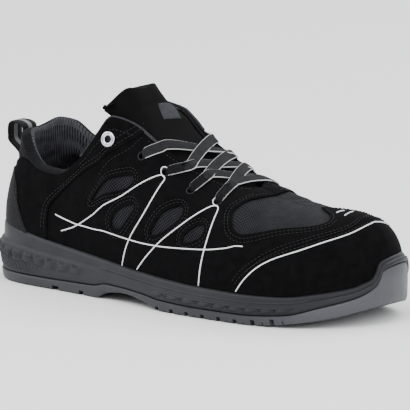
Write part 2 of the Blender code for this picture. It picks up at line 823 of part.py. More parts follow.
def tongue_row(turn, lift):
    """The tongue's face at a station: a wing under each side, and the stretch across the throat."""
    row = []
    for v in TONGUE_ACROSS:
        side = -1 if v < 0 else 1
        if turn > THROAT_END:
            row.append(on_upper(side * turn, 1 - TONGUE_WING * abs(v), lift))
        elif abs(v) > 0.5:
            row.append(on_upper(side * turn, 1 - TONGUE_WING * (abs(v) - 0.5) * 2, lift))
        else:
            row.append(bridge(-turn, turn, v + 0.5, lift, TONGUE_FULLNESS))
    return row


def tongue_top(v, share):
    """A point of the free end of the tongue, above the lacing panels."""
    inside = -(WALL + TONGUE_CLEARANCE)
    start = bridge(-TONGUE_BEND, TONGUE_BEND, (v + 1) / 2, inside, TONGUE_FULLNESS)
    back = (TONGUE_LEAN + TONGUE_WRAP * v * v) * share
    climb = TONGUE_REACH * share * (1 - TONGUE_SHOULDER * abs(v) ** TONGUE_SQUARE)
    return start + np.array([-back, v * TONGUE_SPREAD * share * share, climb])


def tongue(shop, finish):
    """The padded tongue, from under the vamp to its free end."""
    inside = -(WALL + TONGUE_CLEARANCE)
    rows = [tongue_row(turn, inside) for turn in TONGUE_TURNS]
    rows += [[tongue_top(v, share) for v in TONGUE_ACROSS] for share in TONGUE_SHARES]
    bm = bmesh.new()
    padding = bm.verts.layers.deform.verify()
    made = grid(bm, [row[::-1] for row in rows])
    for i, row in enumerate(made):
        for j, vert in enumerate(row):
            border = min(i, len(made) - 1 - i, j, len(row) - 1 - j)
            vert[padding][0] = (0.0, 0.6, 1.0)[min(border, 2)]
    obj = shop.add("tongue", bm, finish)
    obj.vertex_groups.new(name="padding")
    solidify(obj, TONGUE_THICK, -1.0, TONGUE_EDGE / TONGUE_THICK)


def ribbon(path, normals, width, thick):
    """A flat band along a path, as a closed body. The path runs through its middle."""
    rows = []
    for i, point in enumerate(path):
        ahead = path[min(i + 1, len(path) - 1)] - path[max(i - 1, 0)]
        across = np.cross(ahead, normals[i])
        across /= np.linalg.norm(across)
        up = np.cross(across, ahead)
        up /= np.linalg.norm(up)
        w, t = across * width / 2, up * thick / 2
        rows.append([point - w - t, point + w - t, point + w + t, point - w + t])
    bm = bmesh.new()
    made = grid(bm, rows, closed=True)
    bm.faces.new(made[0])
    bm.faces.new(made[-1][::-1])
    bmesh.ops.recalc_face_normals(bm, faces=bm.faces)
    return bm


def lace_strand(start, end, raised, side=-1):
    """A strand's mesh, from a side's eyelet numbered start to the other side's, numbered end."""
    lift = LIFT + OVERLAY + GAP + LACE_CLEARANCE + LACE_THICK / 2 + raised
    path, normals = [], []

    def over_panel(number, face, shares):
        edge = EYELETS.at(number, SIDES[face] + "_edge")
        for share in shares:
            turn = face * (EYELETS.at(number, "turn") * (1 - share) + edge * share)
            rise = EYELETS.at(number, "rise") * (1 - share) + share
            path.append(on_upper(turn, rise, lift))
            normals.append(upper_normal(turn, rise))
        return face * edge

    leaving = over_panel(start, side, np.linspace(0, 1, LACE_RUN, endpoint=False))
    arriving = -side * EYELETS.at(end, SIDES[-side] + "_edge")
    for share in np.linspace(0, 1, LACE_STEPS + 1)[:-1]:
        across = share if side < 0 else 1 - share
        low, high = min(leaving, arriving), max(leaving, arriving)
        path.append(bridge(low, high, across, lift, LACE_FULLNESS))
        normals.append(
            upper_normal(leaving, 1.0) * (1 - share) + upper_normal(arriving, 1.0) * share
        )
    over_panel(end, -side, np.linspace(1, 0, LACE_RUN + 1))
    return ribbon(path, normals, LACE_WIDTH, LACE_THICK)


def laces(shop, finish):
    """One lace: a bar across the lowest holes, and strands that cross up to the second ones."""
    obj = shop.add("laces", lace_strand(5, 5, 2 * LACE_STEP), finish)
    for low in (5, 4, 3):
        for side in (1, -1):
            raised = LACE_STEP if side < 0 else 0.0
            strand = lace_strand(low, low - 1, raised, side)
            boolean(obj, shop.add(f"lace_{SIDES[side]}_{low}", strand), "UNION")


def pull_loop(shop, finish):
    """The webbing loop: sewn to the heel, standing off behind it and sewn on again under the rim."""
    under = LIFT + OVERLAY + STRAP_THICK + 2 * GAP + LOOP_THICK / 2 + LOOP_CLEARANCE
    foot = [on_upper(0, rise_at(0, z), under) for z in (LOOP_FOOT - LOOP_SEWN, LOOP_FOOT)]
    rim = top_point(0)
    under = GAP + LOOP_THICK / 2 + LOOP_CLEARANCE
    heights = (rim[2] - LOOP_DROP, rim[2] - LOOP_DROP - LOOP_SEWN / 2)
    front = [on_upper(0, rise_at(0, z), under) for z in heights]
    top = rim[2] + LOOP_RISE - LOOP_THICK / 2
    back = rim[0] - LOOP_STAND
    stops = [
        (back, foot[1][2] + (rim[2] - foot[1][2]) * 0.45),
        (back, rim[2] - LOOP_RISE),
        (back + LOOP_STAND * 0.2, top),
        (front[0][0] - LOOP_STAND * 0.25, top),
    ]
    path = foot + [np.array([x, 0.0, z]) for x, z in stops] + front
    ahead = [path[min(i + 1, len(path) - 1)] - path[max(i - 1, 0)] for i in range(len(path))]
    normals = [np.array([-step[2], 0.0, step[0]]) for step in ahead]
    shop.add("pull_loop", ribbon(path, normals, LOOP_WIDTH, LOOP_THICK), finish)


def grooves(shop, obj):
    """Cuts the tread across, which leaves its lugs."""
    for number in GROOVES.rows[:, 0]:
        along = GROOVES.at(number, "along")
        turn = math.degrees(math.acos(1 - 2 * along))
        bm = bmesh.new()
        bmesh.ops.create_cube(bm, size=1.0)
        size = (GROOVES.at(number, "width") * LAST_LENGTH, 2 * BALL_WIDTH, 2 * LUG_DEPTH)
        bmesh.ops.scale(bm, vec=size, verts=bm.verts)
        place = (along * LAST_LENGTH - HEEL_SEAT, 0.0, height(turn, "tread"))
        tilt = Matrix.Rotation(math.radians(GROOVES.at(number, "tilt")), 4, "Z")
        bm.transform(Matrix.Translation(place) @ tilt)
        boolean(obj, shop.add(f"groove_{int(number)}", bm))


def main():
    clear_scene()
    shop = Workshop()
    rubber = material("outsole_rubber", "#5a5b60", 0.6)
    foam = material("midsole_foam", "#404147", 0.65)
    mesh = material("mesh_textile", "#2a2a2e", 0.85)
    suede = material("suede", "#17171a", 0.9)
    lining = material("lining_textile", "#2c2c30", 0.9)
    webbing = material("webbing", "#1a1a1d", 0.8)
    lace = material("lace_textile", "#3a3a3c", 0.8)
    metal = material("eyelet_metal", "#d8d8e0", 0.3, 1.0)
    grooves(shop, outsole(shop, rubber))
    midsole(shop, foam)
    insole(shop, lining)
    wall = upper(shop, mesh)
    holes = {
        side: [hole_cutter(shop, side, number) for number in (1, 2, 3, 4, 5)] for side in (-1, 1)
    }
    for side in (-1, 1):
        for cutter in holes[side]:
            boolean(wall, cutter)
    windows = [
        prism(shop, f"window_{number}", window_outline(number), -BALL_WIDTH, BALL_WIDTH)
        for number in (1, 2, 3, 4)
    ]
    quarters(shop, suede, holes, windows)
    cap = skin(shop, "toe_cap", LIFT, suede)
    points = from_shares(TOE_CAP)
    boolean(cap, prism(shop, "toe_cap_outline", points, -BALL_WIDTH, BALL_WIDTH), "INTERSECT")
    heel_pieces(shop, suede, webbing)
    tongue(shop, mesh)
    laces(shop, lace)
    for side in (-1, 1):
        eyelet(shop, side, metal)
    pull_loop(shop, webbing)


main()
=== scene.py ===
"""The looks of a low safety sneaker for the right foot, dressed round its packed solids.

Metres, +Z up, toe to +X, the foot's outer side to -Y. The last's tables repeat the part's own, so
that every panel, seam and cord lies on the same surface as the solids.
"""
import logging
import math
from dataclasses import dataclass
from enum import Enum
from typing import Iterable, Sequence

import bpy
import numpy as np
from mathutils import Matrix, Vector
from mathutils.kdtree import KDTree


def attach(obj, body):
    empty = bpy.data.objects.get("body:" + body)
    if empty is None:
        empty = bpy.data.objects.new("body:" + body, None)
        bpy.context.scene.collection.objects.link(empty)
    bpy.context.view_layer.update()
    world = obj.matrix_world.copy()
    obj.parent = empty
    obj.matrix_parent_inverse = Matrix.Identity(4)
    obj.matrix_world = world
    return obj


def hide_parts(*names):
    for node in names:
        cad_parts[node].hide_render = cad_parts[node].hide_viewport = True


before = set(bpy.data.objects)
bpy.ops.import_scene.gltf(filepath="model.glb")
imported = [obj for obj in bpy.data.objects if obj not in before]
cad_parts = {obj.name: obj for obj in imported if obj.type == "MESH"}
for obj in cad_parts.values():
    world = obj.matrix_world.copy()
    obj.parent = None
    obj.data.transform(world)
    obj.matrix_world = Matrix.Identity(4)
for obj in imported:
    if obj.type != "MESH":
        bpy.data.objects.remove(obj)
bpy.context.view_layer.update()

LOG = logging.getLogger("safety_sneaker")
Array = np.ndarray
MM = 0.001

# The part's own driving sizes
LAST_LENGTH = 0.287
BALL_WIDTH = 0.1025
HEEL_RIM = 0.040
INSTEP_TOP = 0.118
HEEL_SEAT = 0.046
GAP = 0.3 * MM
LIP = 2.4 * MM
LIP_DROP = 0.8 * MM
TRAY_WALL = 2.4 * MM
OUTSOLE_STEP = 0.6 * MM
TREAD_TUCK = 2.0 * MM
LUG_DEPTH = 3.0 * MM
WALL = 2.2 * MM
COLLAR_PAD = 6.5 * MM
INSOLE_THICK = 4.5 * MM
CORNER, THROAT_END = 80.0, 120.0

# How the layers of the upper lie over each other, from the textile's face outwards
QUARTER_TOP = 1.45 * MM
OVERLAY_LOW, OVERLAY_TOP = 1.5 * MM, 2.35 * MM
STRAP_LOW, STRAP_TOP = OVERLAY_TOP + 0.05 * MM, OVERLAY_TOP + 0.95 * MM
PIPING_R = 0.43 * MM
STITCH_PITCH = 2.7 * MM

# The lace holes, counted from the top one down: the ringed one, the laced ones, those with a cord ring
TOP_HOLE = 1
LACED_HOLES = (2, 3, 4, 5)
CORD_RINGS = (3, 5)
# Their radii in the textile, in the suede, and where the metal ring goes through both
HOLE_R, SUEDE_HOLE_R, RING_HOLE_R = 2.2 * MM, 2.5 * MM, 2.9 * MM


class Table:
    """Rows of named columns, read smoothly between rows by the first column."""

    def __init__(self, names: str, rows: Sequence[Sequence[float]]) -> None:
        """Keeps the rows.

        Args:
            names: The columns' names, with spaces between them.
            rows: The rows, in order of their first column.
        """
        self.names = names.split()
        self.rows = np.array(rows, float)

    def at(self, key: Array | float, name: str) -> Array:
        """Reads a column.

        Args:
            key: One value or many of the first column.
            name: The column to read.

        Returns:
            The column's value at each key.
        """
        keys = self.rows[:, 0]
        values = self.rows[:, self.names.index(name)]
        key = np.clip(np.asarray(key, float), keys[0], keys[-1])
        i = np.clip(np.searchsorted(keys, key, side="right") - 1, 0, len(keys) - 2)
        steps = np.diff(keys)
        slopes = np.diff(values) / steps
        before, after = slopes[:-1], slopes[1:]
        rising = before * after > 0
        inner = np.where(rising, 2 * before * after / np.where(rising, before + after, 1.0), 0.0)
        slopes = np.concatenate([slopes[:1], inner, slopes[-1:]])
        t = (key - keys[i]) / steps[i]
        start, end = slopes[i] * steps[i], slopes[i + 1] * steps[i]
        return (
            (2 * t**3 - 3 * t**2 + 1) * values[i]
            + (t**3 - 2 * t**2 + t) * start
            + (3 * t**2 - 2 * t**3) * values[i + 1]
            + (t**3 - t**2) * end
        )


PLAN = Table(
    "turn outer inner",
    [
        (0, 0.000, 0.000),
        (10, 0.127, 0.127),
        (20, 0.244, 0.244),
        (30, 0.322, 0.322),
        (40, 0.356, 0.356),
        (50, 0.366, 0.351),
        (60, 0.378, 0.337),
        (75, 0.415, 0.327),
        (90, 0.475, 0.361),
        (105, 0.507, 0.444),
        (120, 0.502, 0.498),
        (135, 0.449, 0.488),
        (150, 0.312, 0.424),
        (160, 0.180, 0.341),
        (170, 0.034, 0.234),
        (180, -0.107, 0.107),
    ],
)
HEIGHTS = Table(
    "turn rim bed border tray tread",
    [
        (0, 1.000, 0.680, 0.200, 0.165, 0.070),
        (10, 0.995, 0.680, 0.185, 0.145, 0.040),
        (20, 0.980, 0.680, 0.175, 0.115, 0.000),
        (30, 0.940, 0.665, 0.170, 0.115, 0.000),
        (40, 0.875, 0.630, 0.170, 0.115, 0.000),
        (50, 0.800, 0.570, 0.170, 0.115, 0.000),
        (60, 0.740, 0.510, 0.180, 0.115, 0.000),
        (70, 0.680, 0.450, 0.200, 0.115, 0.000),
        (75, 0.650, 0.420, 0.260, 0.200, 0.120),
        (82, 0.605, 0.390, 0.255, 0.215, 0.165),
        (89, 0.575, 0.370, 0.225, 0.185, 0.110),
        (95, 0.550, 0.355, 0.180, 0.115, 0.000),
        (110, 0.510, 0.335, 0.160, 0.115, 0.000),
        (122, 0.505, 0.335, 0.160, 0.115, 0.000),
        (132, 0.510, 0.360, 0.185, 0.145, 0.030),
        (145, 0.550, 0.420, 0.260, 0.220, 0.110),
        (155, 0.610, 0.480, 0.350, 0.290, 0.180),
        (162, 0.700, 0.530, 0.470, 0.345, 0.240),
        (168, 0.840, 0.580, 0.600, 0.395, 0.290),
        (174, 0.960, 0.610, 0.690, 0.425, 0.325),
        (180, 1.000, 0.620, 0.720, 0.435, 0.340),
    ],
)
TOPLINE = Table(
    "turn along outer outer_z inner inner_z lean low high",
    [
        (0, 0.020, 0.000, 0.808, 0.000, 0.808, 4, 0.40, 0.35),
        (10, 0.026, 0.090, 0.812, 0.090, 0.818, 4, 0.40, 0.35),
        (20, 0.045, 0.172, 0.800, 0.172, 0.835, 4, 0.40, 0.35),
        (30, 0.080, 0.235, 0.720, 0.235, 0.820, 5, 0.40, 0.35),
        (40, 0.125, 0.270, 0.655, 0.270, 0.745, 7, 0.42, 0.36),
        (50, 0.180, 0.290, 0.648, 0.290, 0.700, 8, 0.44, 0.38),
        (60, 0.240, 0.295, 0.730, 0.295, 0.760, 10, 0.46, 0.40),
        (68, 0.290, 0.280, 0.880, 0.280, 0.885, 18, 0.50, 0.45),
        (74, 0.325, 0.250, 0.980, 0.250, 1.000, 28, 0.52, 0.48),
        (80, 0.385, 0.205, 0.935, 0.220, 0.985, 42, 0.54, 0.50),
        (85, 0.420, 0.205, 0.885, 0.215, 0.935, 50, 0.55, 0.50),
        (90, 0.455, 0.200, 0.832, 0.205, 0.865, 55, 0.56, 0.50),
        (100, 0.535, 0.185, 0.742, 0.188, 0.762, 60, 0.58, 0.52),
        (110, 0.600, 0.155, 0.682, 0.158, 0.692, 68, 0.60, 0.54),
        (116, 0.645, 0.105, 0.655, 0.105, 0.658, 78, 0.62, 0.56),
        (120, 0.670, 0.000, 0.640, 0.000, 0.640, 90, 0.62, 0.56),
        (130, 0.725, 0.000, 0.600, 0.000, 0.600, 90, 0.64, 0.56),
        (142, 0.785, 0.000, 0.580, 0.000, 0.580, 90, 0.68, 0.60),
        (154, 0.840, 0.000, 0.573, 0.000, 0.573, 90, 0.73, 0.64),
        (166, 0.885, 0.000, 0.566, 0.000, 0.566, 90, 0.71, 0.59),
        (180, 0.910, 0.000, 0.558, 0.000, 0.558, 90, 0.73, 0.60),
    ],
)
# The toe's own rim and border, whose step the solids only follow on average: sweep is the turn from the
# toe's tip, negative on the outer side.
TOE = Table(
    "sweep rim border",
    [
        (-42, 0.525, 0.235),
        (-34, 0.570, 0.310),
        (-27, 0.610, 0.385),
        (-18, 0.668, 0.475),
        (-14, 0.720, 0.535),
        (-10.5, 0.770, 0.610),
        (-9, 0.840, 0.665),
        (-7.5, 0.960, 0.760),
        (-6, 1.030, 0.860),
        (-2, 1.070, 0.910),
        (4, 1.095, 0.930),
        (12, 1.095, 0.910),
        (17, 1.040, 0.850),
        (21, 0.920, 0.700),
        (25, 0.790, 0.550),
        (32, 0.620, 0.380),
        (42, 0.525, 0.235),
    ],
)
RIDGE = Table(
    "along shift",
    [(0.0, 0.0), (0.30, 0.0), (0.55, 0.01), (0.75, 0.05), (0.90, 0.09), (1.0, 0.118)],
)
SIDE = Table(
    "level flare",
    [
        (0.0, 2.2 * MM),
        (0.30, 3.6 * MM),
        (0.60, 3.2 * MM),
        (0.66, 1.6 * MM),
        (0.92, 1.2 * MM),
        (1.0, 0.0),
    ],
)
EYELETS = Table(
    "number turn rise outer_edge inner_edge",
    [
        (1, 73.0, 0.875, 80.0, 80.0),
        (2, 83.0, 0.830, 89.5, 93.0),
        (3, 92.0, 0.815, 99.0, 100.0),
        (4, 101.0, 0.780, 105.5, 107.5),
        (5, 111.0, 0.755, 113.5, 115.0),
    ],
)
GROOVES = Table(
    "number along width tilt",
    [
        (1, 0.208, 0.020, 0),
        (2, 0.288, 0.014, 0),
        (3, 0.560, 0.010, -8),
        (4, 0.605, 0.010, -8),
        (5, 0.650, 0.010, -8),
        (6, 0.695, 0.010, -8),
        (7, 0.740, 0.010, -8),
        (8, 0.785, 0.010, -8),
        (9, 0.830, 0.010, -8),
        (10, 0.875, 0.010, -8),
    ],
)
# The cuff's lower edge on the outside: stations and rises.
CUFF = Table(
    "turn rise",
    [
        (0, 0.640),
        (10, 0.660),
        (19.5, 0.725),
        (25, 0.810),
        (31, 0.895),
        (39, 0.930),
        (46, 0.935),
        (53, 0.960),
        (60, 0.982),
        (66, 0.985),
        (80, 0.985),
    ],
)


class Side(Enum):
    """The two sides of the foot, as the sign of their stations."""

    OUTER = -1
    INNER = 1


class Slot(Enum):
    """Names of material slots."""

    RUBBER = "outsole_rubber"
    FOAM = "midsole_foam"
    LINING = "lining"
    MESH = "mesh_textile"
    SUEDE = "suede"
    WEBBING = "webbing"
    LACE = "lace_cord"
    PIPING = "piping"
    METAL = "eyelet_metal"


def unit(vectors: Array) -> Array:
    """Vectors brought to length 1."""
    return vectors / np.linalg.norm(vectors, axis=-1, keepdims=True)


def run_of(line: Array) -> Array:
    """How far along a line each of its points lies."""
    return np.concatenate([[0.0], np.cumsum(np.linalg.norm(np.diff(line, axis=0), axis=1))])


class Last:
    """The shoe's own surface, read for many points at once. Negative turns are the outer side."""

    @staticmethod
    def wrap(turn: Array | float) -> Array:
        """Brings stations into -180 to 180."""
        return (np.asarray(turn, float) + 180.0) % 360.0 - 180.0

    @staticmethod
    def plan(turn: Array | float) -> Array:
        """The last's outline seen from above, as points of x and y."""
        turn = Last.wrap(turn)
        key = np.abs(turn)
        half = np.where(turn < 0, -PLAN.at(key, "outer"), PLAN.at(key, "inner")) * BALL_WIDTH
        x = LAST_LENGTH * (1 - np.cos(np.radians(turn))) / 2 - HEEL_SEAT
        return np.stack([x, half], -1)

    @staticmethod
    def outline(turn: Array | float, grow: float = 0.0) -> tuple[Array, Array]:
        """The outline and its outward normal.

        Args:
            turn: Stations.
            grow: How far the points are moved out.

        Returns:
            The points and the normals, each as x and y.
        """
        turn = np.asarray(turn, float)
        along = unit(Last.plan(turn + 0.5) - Last.plan(turn - 0.5))
        normal = np.stack([-along[..., 1], along[..., 0]], -1)
        return Last.plan(turn) + normal * grow, normal

    @staticmethod
    def height(turn: Array | float, name: str) -> Array:
        """One of the sole's heights at stations."""
        turn = Last.wrap(turn)
        share = HEIGHTS.at(np.abs(turn), name)
        if name in ("rim", "border"):
            sweep = np.where(turn < 0, -1, 1) * (180 - np.abs(turn))
            blend = smooth_step(np.abs(sweep), 32.0, 42.0)
            share = share * blend + TOE.at(sweep, name) * (1 - blend)
        return share * HEEL_RIM

    @staticmethod
    def top(turn: Array | float) -> Array:
        """The upper's edge or ridge above stations."""
        turn = Last.wrap(turn)
        key = np.abs(turn)
        outer = (turn < 0) | (key >= THROAT_END)
        along = TOPLINE.at(key, "along")
        half = np.where(outer, TOPLINE.at(key, "outer"), TOPLINE.at(key, "inner")) * BALL_WIDTH
        half = np.where(key < THROAT_END, half, 0.0)
        z = np.where(outer, TOPLINE.at(key, "outer_z"), TOPLINE.at(key, "inner_z")) * INSTEP_TOP
        y = RIDGE.at(along, "shift") * BALL_WIDTH + np.where(turn < 0, -half, half)
        return np.stack([along * LAST_LENGTH - HEEL_SEAT, y, z], -1)

    @staticmethod
    def face(turn: Array | float, rise: Array | float) -> Array:
        """The upper's outer face: rise 0 at the bed, 1 at the edge or ridge."""
        turn, rise = np.broadcast_arrays(Last.wrap(turn), np.asarray(rise, float))
        key = np.abs(turn)
        flat, flat_normal = Last.outline(turn)
        foot = np.concatenate([flat, (Last.height(turn, "bed") + GAP)[..., None]], -1)
        normal = np.concatenate([flat_normal, np.zeros_like(key)[..., None]], -1)
        top = Last.top(turn)
        run = (foot - top) * np.array([1.0, 1.0, 0.0])
        reach = np.linalg.norm(run, axis=-1, keepdims=True)
        away = unit(run + normal * 4 * MM)
        climb = (top - foot)[..., 2:3]
        lean = np.radians(TOPLINE.at(key, "lean"))[..., None]
        up = np.array([0.0, 0.0, 1.0])
        low = foot + (up + normal * 0.16) * climb * TOPLINE.at(key, "low")[..., None]
        pull = away * reach * np.sin(lean) * 1.1 - up * climb * np.cos(lean)
        high = top + pull * TOPLINE.at(key, "high")[..., None]
        r = rise[..., None]
        q = 1 - r
        return q**3 * foot + 3 * q**2 * r * low + 3 * q * r**2 * high + r**3 * top

    @staticmethod
    def out(turn: Array | float, rise: Array | float) -> Array:
        """The outward direction of the upper's outer face."""
        turn, rise = np.broadcast_arrays(np.asarray(turn, float), np.asarray(rise, float))
        climb = Last.face(turn, np.minimum(rise + 0.01, 1.0)) - Last.face(turn, np.maximum(rise - 0.01, 0.0))
        # Wider steps by the throat's end, where the edge turns into the ridge.
        step = np.where(np.abs(np.abs(Last.wrap(turn)) - THROAT_END) < 1.5, 1.8, 0.6)
        around = Last.face(turn + step, rise) - Last.face(turn - step, rise)
        normal = np.cross(climb, around)
        size = np.linalg.norm(normal, axis=-1, keepdims=True)
        return np.where(size < 1e-12, np.array([0.0, 0.0, 1.0]), normal / np.maximum(size, 1e-12))

    @staticmethod
    def on(turn: Array | float, rise: Array | float, lift: Array | float) -> Array:
        """Points that stand off the upper's outer face by lift."""
        lift = np.asarray(lift, float)[..., None]
        return Last.face(turn, rise) + Last.out(turn, rise) * lift

    @staticmethod
    def rise_at(turn: Array | float, z: Array | float) -> Array:
        """The rises at which the upper's outer face reaches heights."""
        turn, z = np.broadcast_arrays(np.asarray(turn, float), np.asarray(z, float))
        low, high = np.zeros_like(turn), np.ones_like(turn)
        for _ in range(22):
            middle = (low + high) / 2
            below = Last.face(turn, middle)[..., 2] < z
            low, high = np.where(below, middle, low), np.where(below, high, middle)
        return low

    @staticmethod
    def bridge(
        outer: Array | float, inner: Array | float, share: Array | float, lift: Array | float, full: float
    ) -> Array:
        """Points over the throat.

        Args:
            outer: Signed station on one edge.
            inner: Signed station on the other edge.
            share: From 0 at the first edge to 1 at the second.
            lift: How far the points stand off.
            full: How high they arch.

        Returns:
            The points.
        """
        ends, pulls = [], []
        for turn in (outer, inner):
            ends.append(Last.on(turn, 1.0, lift))
            pulls.append(unit(Last.face(turn, 1.0) - Last.face(turn, 0.97)))
        reach = np.linalg.norm(ends[1] - ends[0], axis=-1, keepdims=True) * full
        a, b = ends[0] + pulls[0] * reach, ends[1] + pulls[1] * reach
        s = np.asarray(share, float)[..., None]
        q = 1 - s
        return q**3 * ends[0] + 3 * q * q * s * a + 3 * q * s**2 * b + s**3 * ends[1]


class Flat:
    """The upper's outer face laid flat, in metres: x runs round the shoe and y up it.

    x is measured on the outer side at a rise of 0.35, and y is the rise times TALL.
    """

    TALL = 0.080
    TURNS = np.linspace(0.0, 180.0, 361)
    HALF = run_of(Last.face(-TURNS, np.full(361, 0.35)))
    XS = np.concatenate([-HALF[::-1], HALF[1:], 2 * HALF[-1] - HALF[::-1][1:]])
    STATIONS = np.concatenate([-TURNS[::-1], TURNS[1:], 360.0 - TURNS[::-1][1:]])

    @staticmethod
    def of(points: Iterable[tuple[float, float]]) -> Array:
        """Lays stations and rises flat."""
        points = np.array(list(points), float)
        return np.stack([np.interp(points[:, 0], Flat.STATIONS, Flat.XS), points[:, 1] * Flat.TALL], 1)

    @staticmethod
    def back(flat: Array) -> tuple[Array, Array]:
        """The stations and rises of flat points."""
        return np.interp(flat[..., 0], Flat.XS, Flat.STATIONS), flat[..., 1] / Flat.TALL


# Small helpers for lines and meshes


def smooth_step(value: Array | float, low: float, high: float) -> Array | float:
    """0 below low, 1 above high, with a soft change between."""
    t = np.clip((value - low) / (high - low), 0.0, 1.0)
    return t * t * (3 - 2 * t)


def spline(points: Array, step: float, closed: bool = False) -> Array:
    """A smooth line through points, with even steps.

    Args:
        points: The points, in two or three dimensions.
        step: The distance between two points of the result.
        closed: Whether the line joins up.

    Returns:
        The finer line.
    """
    points = np.asarray(points, float)
    if closed:
        padded = np.concatenate([points[-1:], points, points[:2]])
    else:
        padded = np.concatenate([2 * points[:1] - points[1:2], points, 2 * points[-1:] - points[-2:-1]])
    fine = []
    t = np.linspace(0, 1, 12, endpoint=False)[:, None]
    for a, b, c, d in zip(padded, padded[1:], padded[2:], padded[3:]):
        fine.append(
            0.5 * (2 * b + (c - a) * t + (2 * a - 5 * b + 4 * c - d) * t**2 + (3 * b - a - 3 * c + d) * t**3)
        )
    line = np.concatenate(fine + [padded[-2:-1]])
    return even(line, step, closed)


def even(line: Array, step: float, closed: bool = False) -> Array:
    """The same line with points at even distances, without its last point if it is closed."""
    lengths = run_of(line)
    count = max(int(round(lengths[-1] / step)), 2)
    where = np.linspace(0, lengths[-1], count + 1)
    made = np.stack([np.interp(where, lengths, line[:, k]) for k in range(line.shape[1])], 1)
    return made[:-1] if closed else made


def soften(line: Array, rounds: int, keep: float) -> Array:
    """A flat line with its small waves taken out, but for the stretch by its highest point.

    Args:
        line: The line, with even steps.
        rounds: How often each point moves towards its neighbours.
        keep: How far from the highest point the line stays as it is.

    Returns:
        The softer line.
    """
    line = line.copy()
    peak = line[np.argmax(line[:, 1])]
    share = smooth_step(np.linalg.norm(line - peak, axis=1), keep * 0.6, keep * 1.6)[1:-1, None] * 0.5
    for _ in range(rounds):
        line[1:-1] += ((line[:-2] + line[2:]) / 2 - line[1:-1]) * share
    return line


def beside(line: Array, offset: float, closed: bool = False) -> Array:
    """A flat line moved to its left by offset."""
    if closed:
        ahead = np.roll(line, -1, 0) - np.roll(line, 1, 0)
    else:
        ahead = np.gradient(line, axis=0)
    ahead /= np.maximum(np.linalg.norm(ahead, axis=1, keepdims=True), 1e-9)
    return line + np.stack([-ahead[:, 1], ahead[:, 0]], 1) * offset


def twice_area(line: Array) -> float:
    """Twice the area inside a closed flat line, negative where it runs clockwise."""
    ahead = np.roll(line, -1, 0)
    return float(np.sum(line[:, 0] * ahead[:, 1] - ahead[:, 0] * line[:, 1]))


def resample(net: Array, count: int, axis: int) -> Array:
    """A net of points made finer along one axis, on smooth curves through its points."""
    net = np.moveaxis(net, axis, 0)
    padded = np.concatenate([2 * net[:1] - net[1:2], net, 2 * net[-1:] - net[-2:-1]])
    where = np.linspace(0, len(net) - 1, count)
    i = np.minimum(where.astype(int), len(net) - 2)
    t = (where - i).reshape((-1,) + (1,) * (net.ndim - 1))
    a, b, c, d = padded[i], padded[i + 1], padded[i + 2], padded[i + 3]
    made = 0.5 * (2 * b + (c - a) * t + (2 * a - 5 * b + 4 * c - d) * t**2 + (3 * b - a - 3 * c + d) * t**3)
    return np.moveaxis(made, 0, axis)


def only(obj: bpy.types.Object) -> None:
    """Selects one object and nothing else."""
    bpy.ops.object.select_all(action="DESELECT")
    obj.select_set(True)
    bpy.context.view_layer.objects.active = obj


def mend(obj: bpy.types.Object, merge: float = 1e-6, fill: bool = False) -> None:
    """Merges a mesh's doubles, fills its open ends if asked, and turns its faces out."""
    only(obj)
    bpy.ops.object.mode_set(mode="EDIT")
    bpy.ops.mesh.select_all(action="SELECT")
    bpy.ops.mesh.remove_doubles(threshold=merge)
    if fill:
        bpy.ops.mesh.select_all(action="SELECT")
        bpy.ops.mesh.fill_holes(sides=0)
    bpy.ops.mesh.select_all(action="SELECT")
    bpy.ops.mesh.normals_make_consistent(inside=False)
    bpy.ops.object.mode_set(mode="OBJECT")


def modify(obj: bpy.types.Object, kind: str, **settings: object) -> None:
    """Adds a modifier with its settings and applies it."""
    only(obj)
    bpy.ops.object.modifier_add(type=kind)
    modifier = obj.modifiers[-1]
    for name, value in settings.items():
        setattr(modifier, name, value)
    bpy.ops.object.modifier_apply(modifier=modifier.name)


def values_of(items: bpy.types.bpy_prop_collection, name: str, width: int = 1) -> Array:
    """A property of all items: whole numbers where width is 1, else rows of width numbers."""
    made = np.empty(len(items) * width, np.int32 if width == 1 else np.float32)
    items.foreach_get(name, made)
    return made if width == 1 else made.reshape(-1, width)


def net_piece(
    points: Array, merge: bool = True, fill: bool = False, uv: Array | None = None
) -> bpy.types.Object:
    """A grid primitive whose corners are put on a net of points.

    Args:
        points: The net, as rows by columns by 3.
        merge: Whether doubles are merged and the faces turned out.
        fill: Whether open ends are filled.
        uv: The net's own map in metres, or none for shares of the net.

    Returns:
        The object.
    """
    rows, columns = points.shape[:2]
    bpy.ops.object.select_all(action="DESELECT")
    bpy.ops.mesh.primitive_grid_add(
        x_subdivisions=columns - 1, y_subdivisions=rows - 1, size=1.0, calc_uvs=True, location=(0, 0, 0)
    )
    obj = bpy.context.object
    mesh = obj.data
    flat = values_of(mesh.vertices, "co", 3)
    column = np.rint((flat[:, 0] + 0.5) * (columns - 1)).astype(int)
    row = np.rint((flat[:, 1] + 0.5) * (rows - 1)).astype(int)
    mesh.vertices.foreach_set("co", points[row, column].astype(np.float32).ravel())
    if uv is not None:
        corners = values_of(mesh.loops, "vertex_index")
        mesh.uv_layers[0].data.foreach_set("uv", uv[row, column][corners].astype(np.float32).ravel())
    mesh.update()
    if merge:
        mend(obj, fill=fill)
    return obj


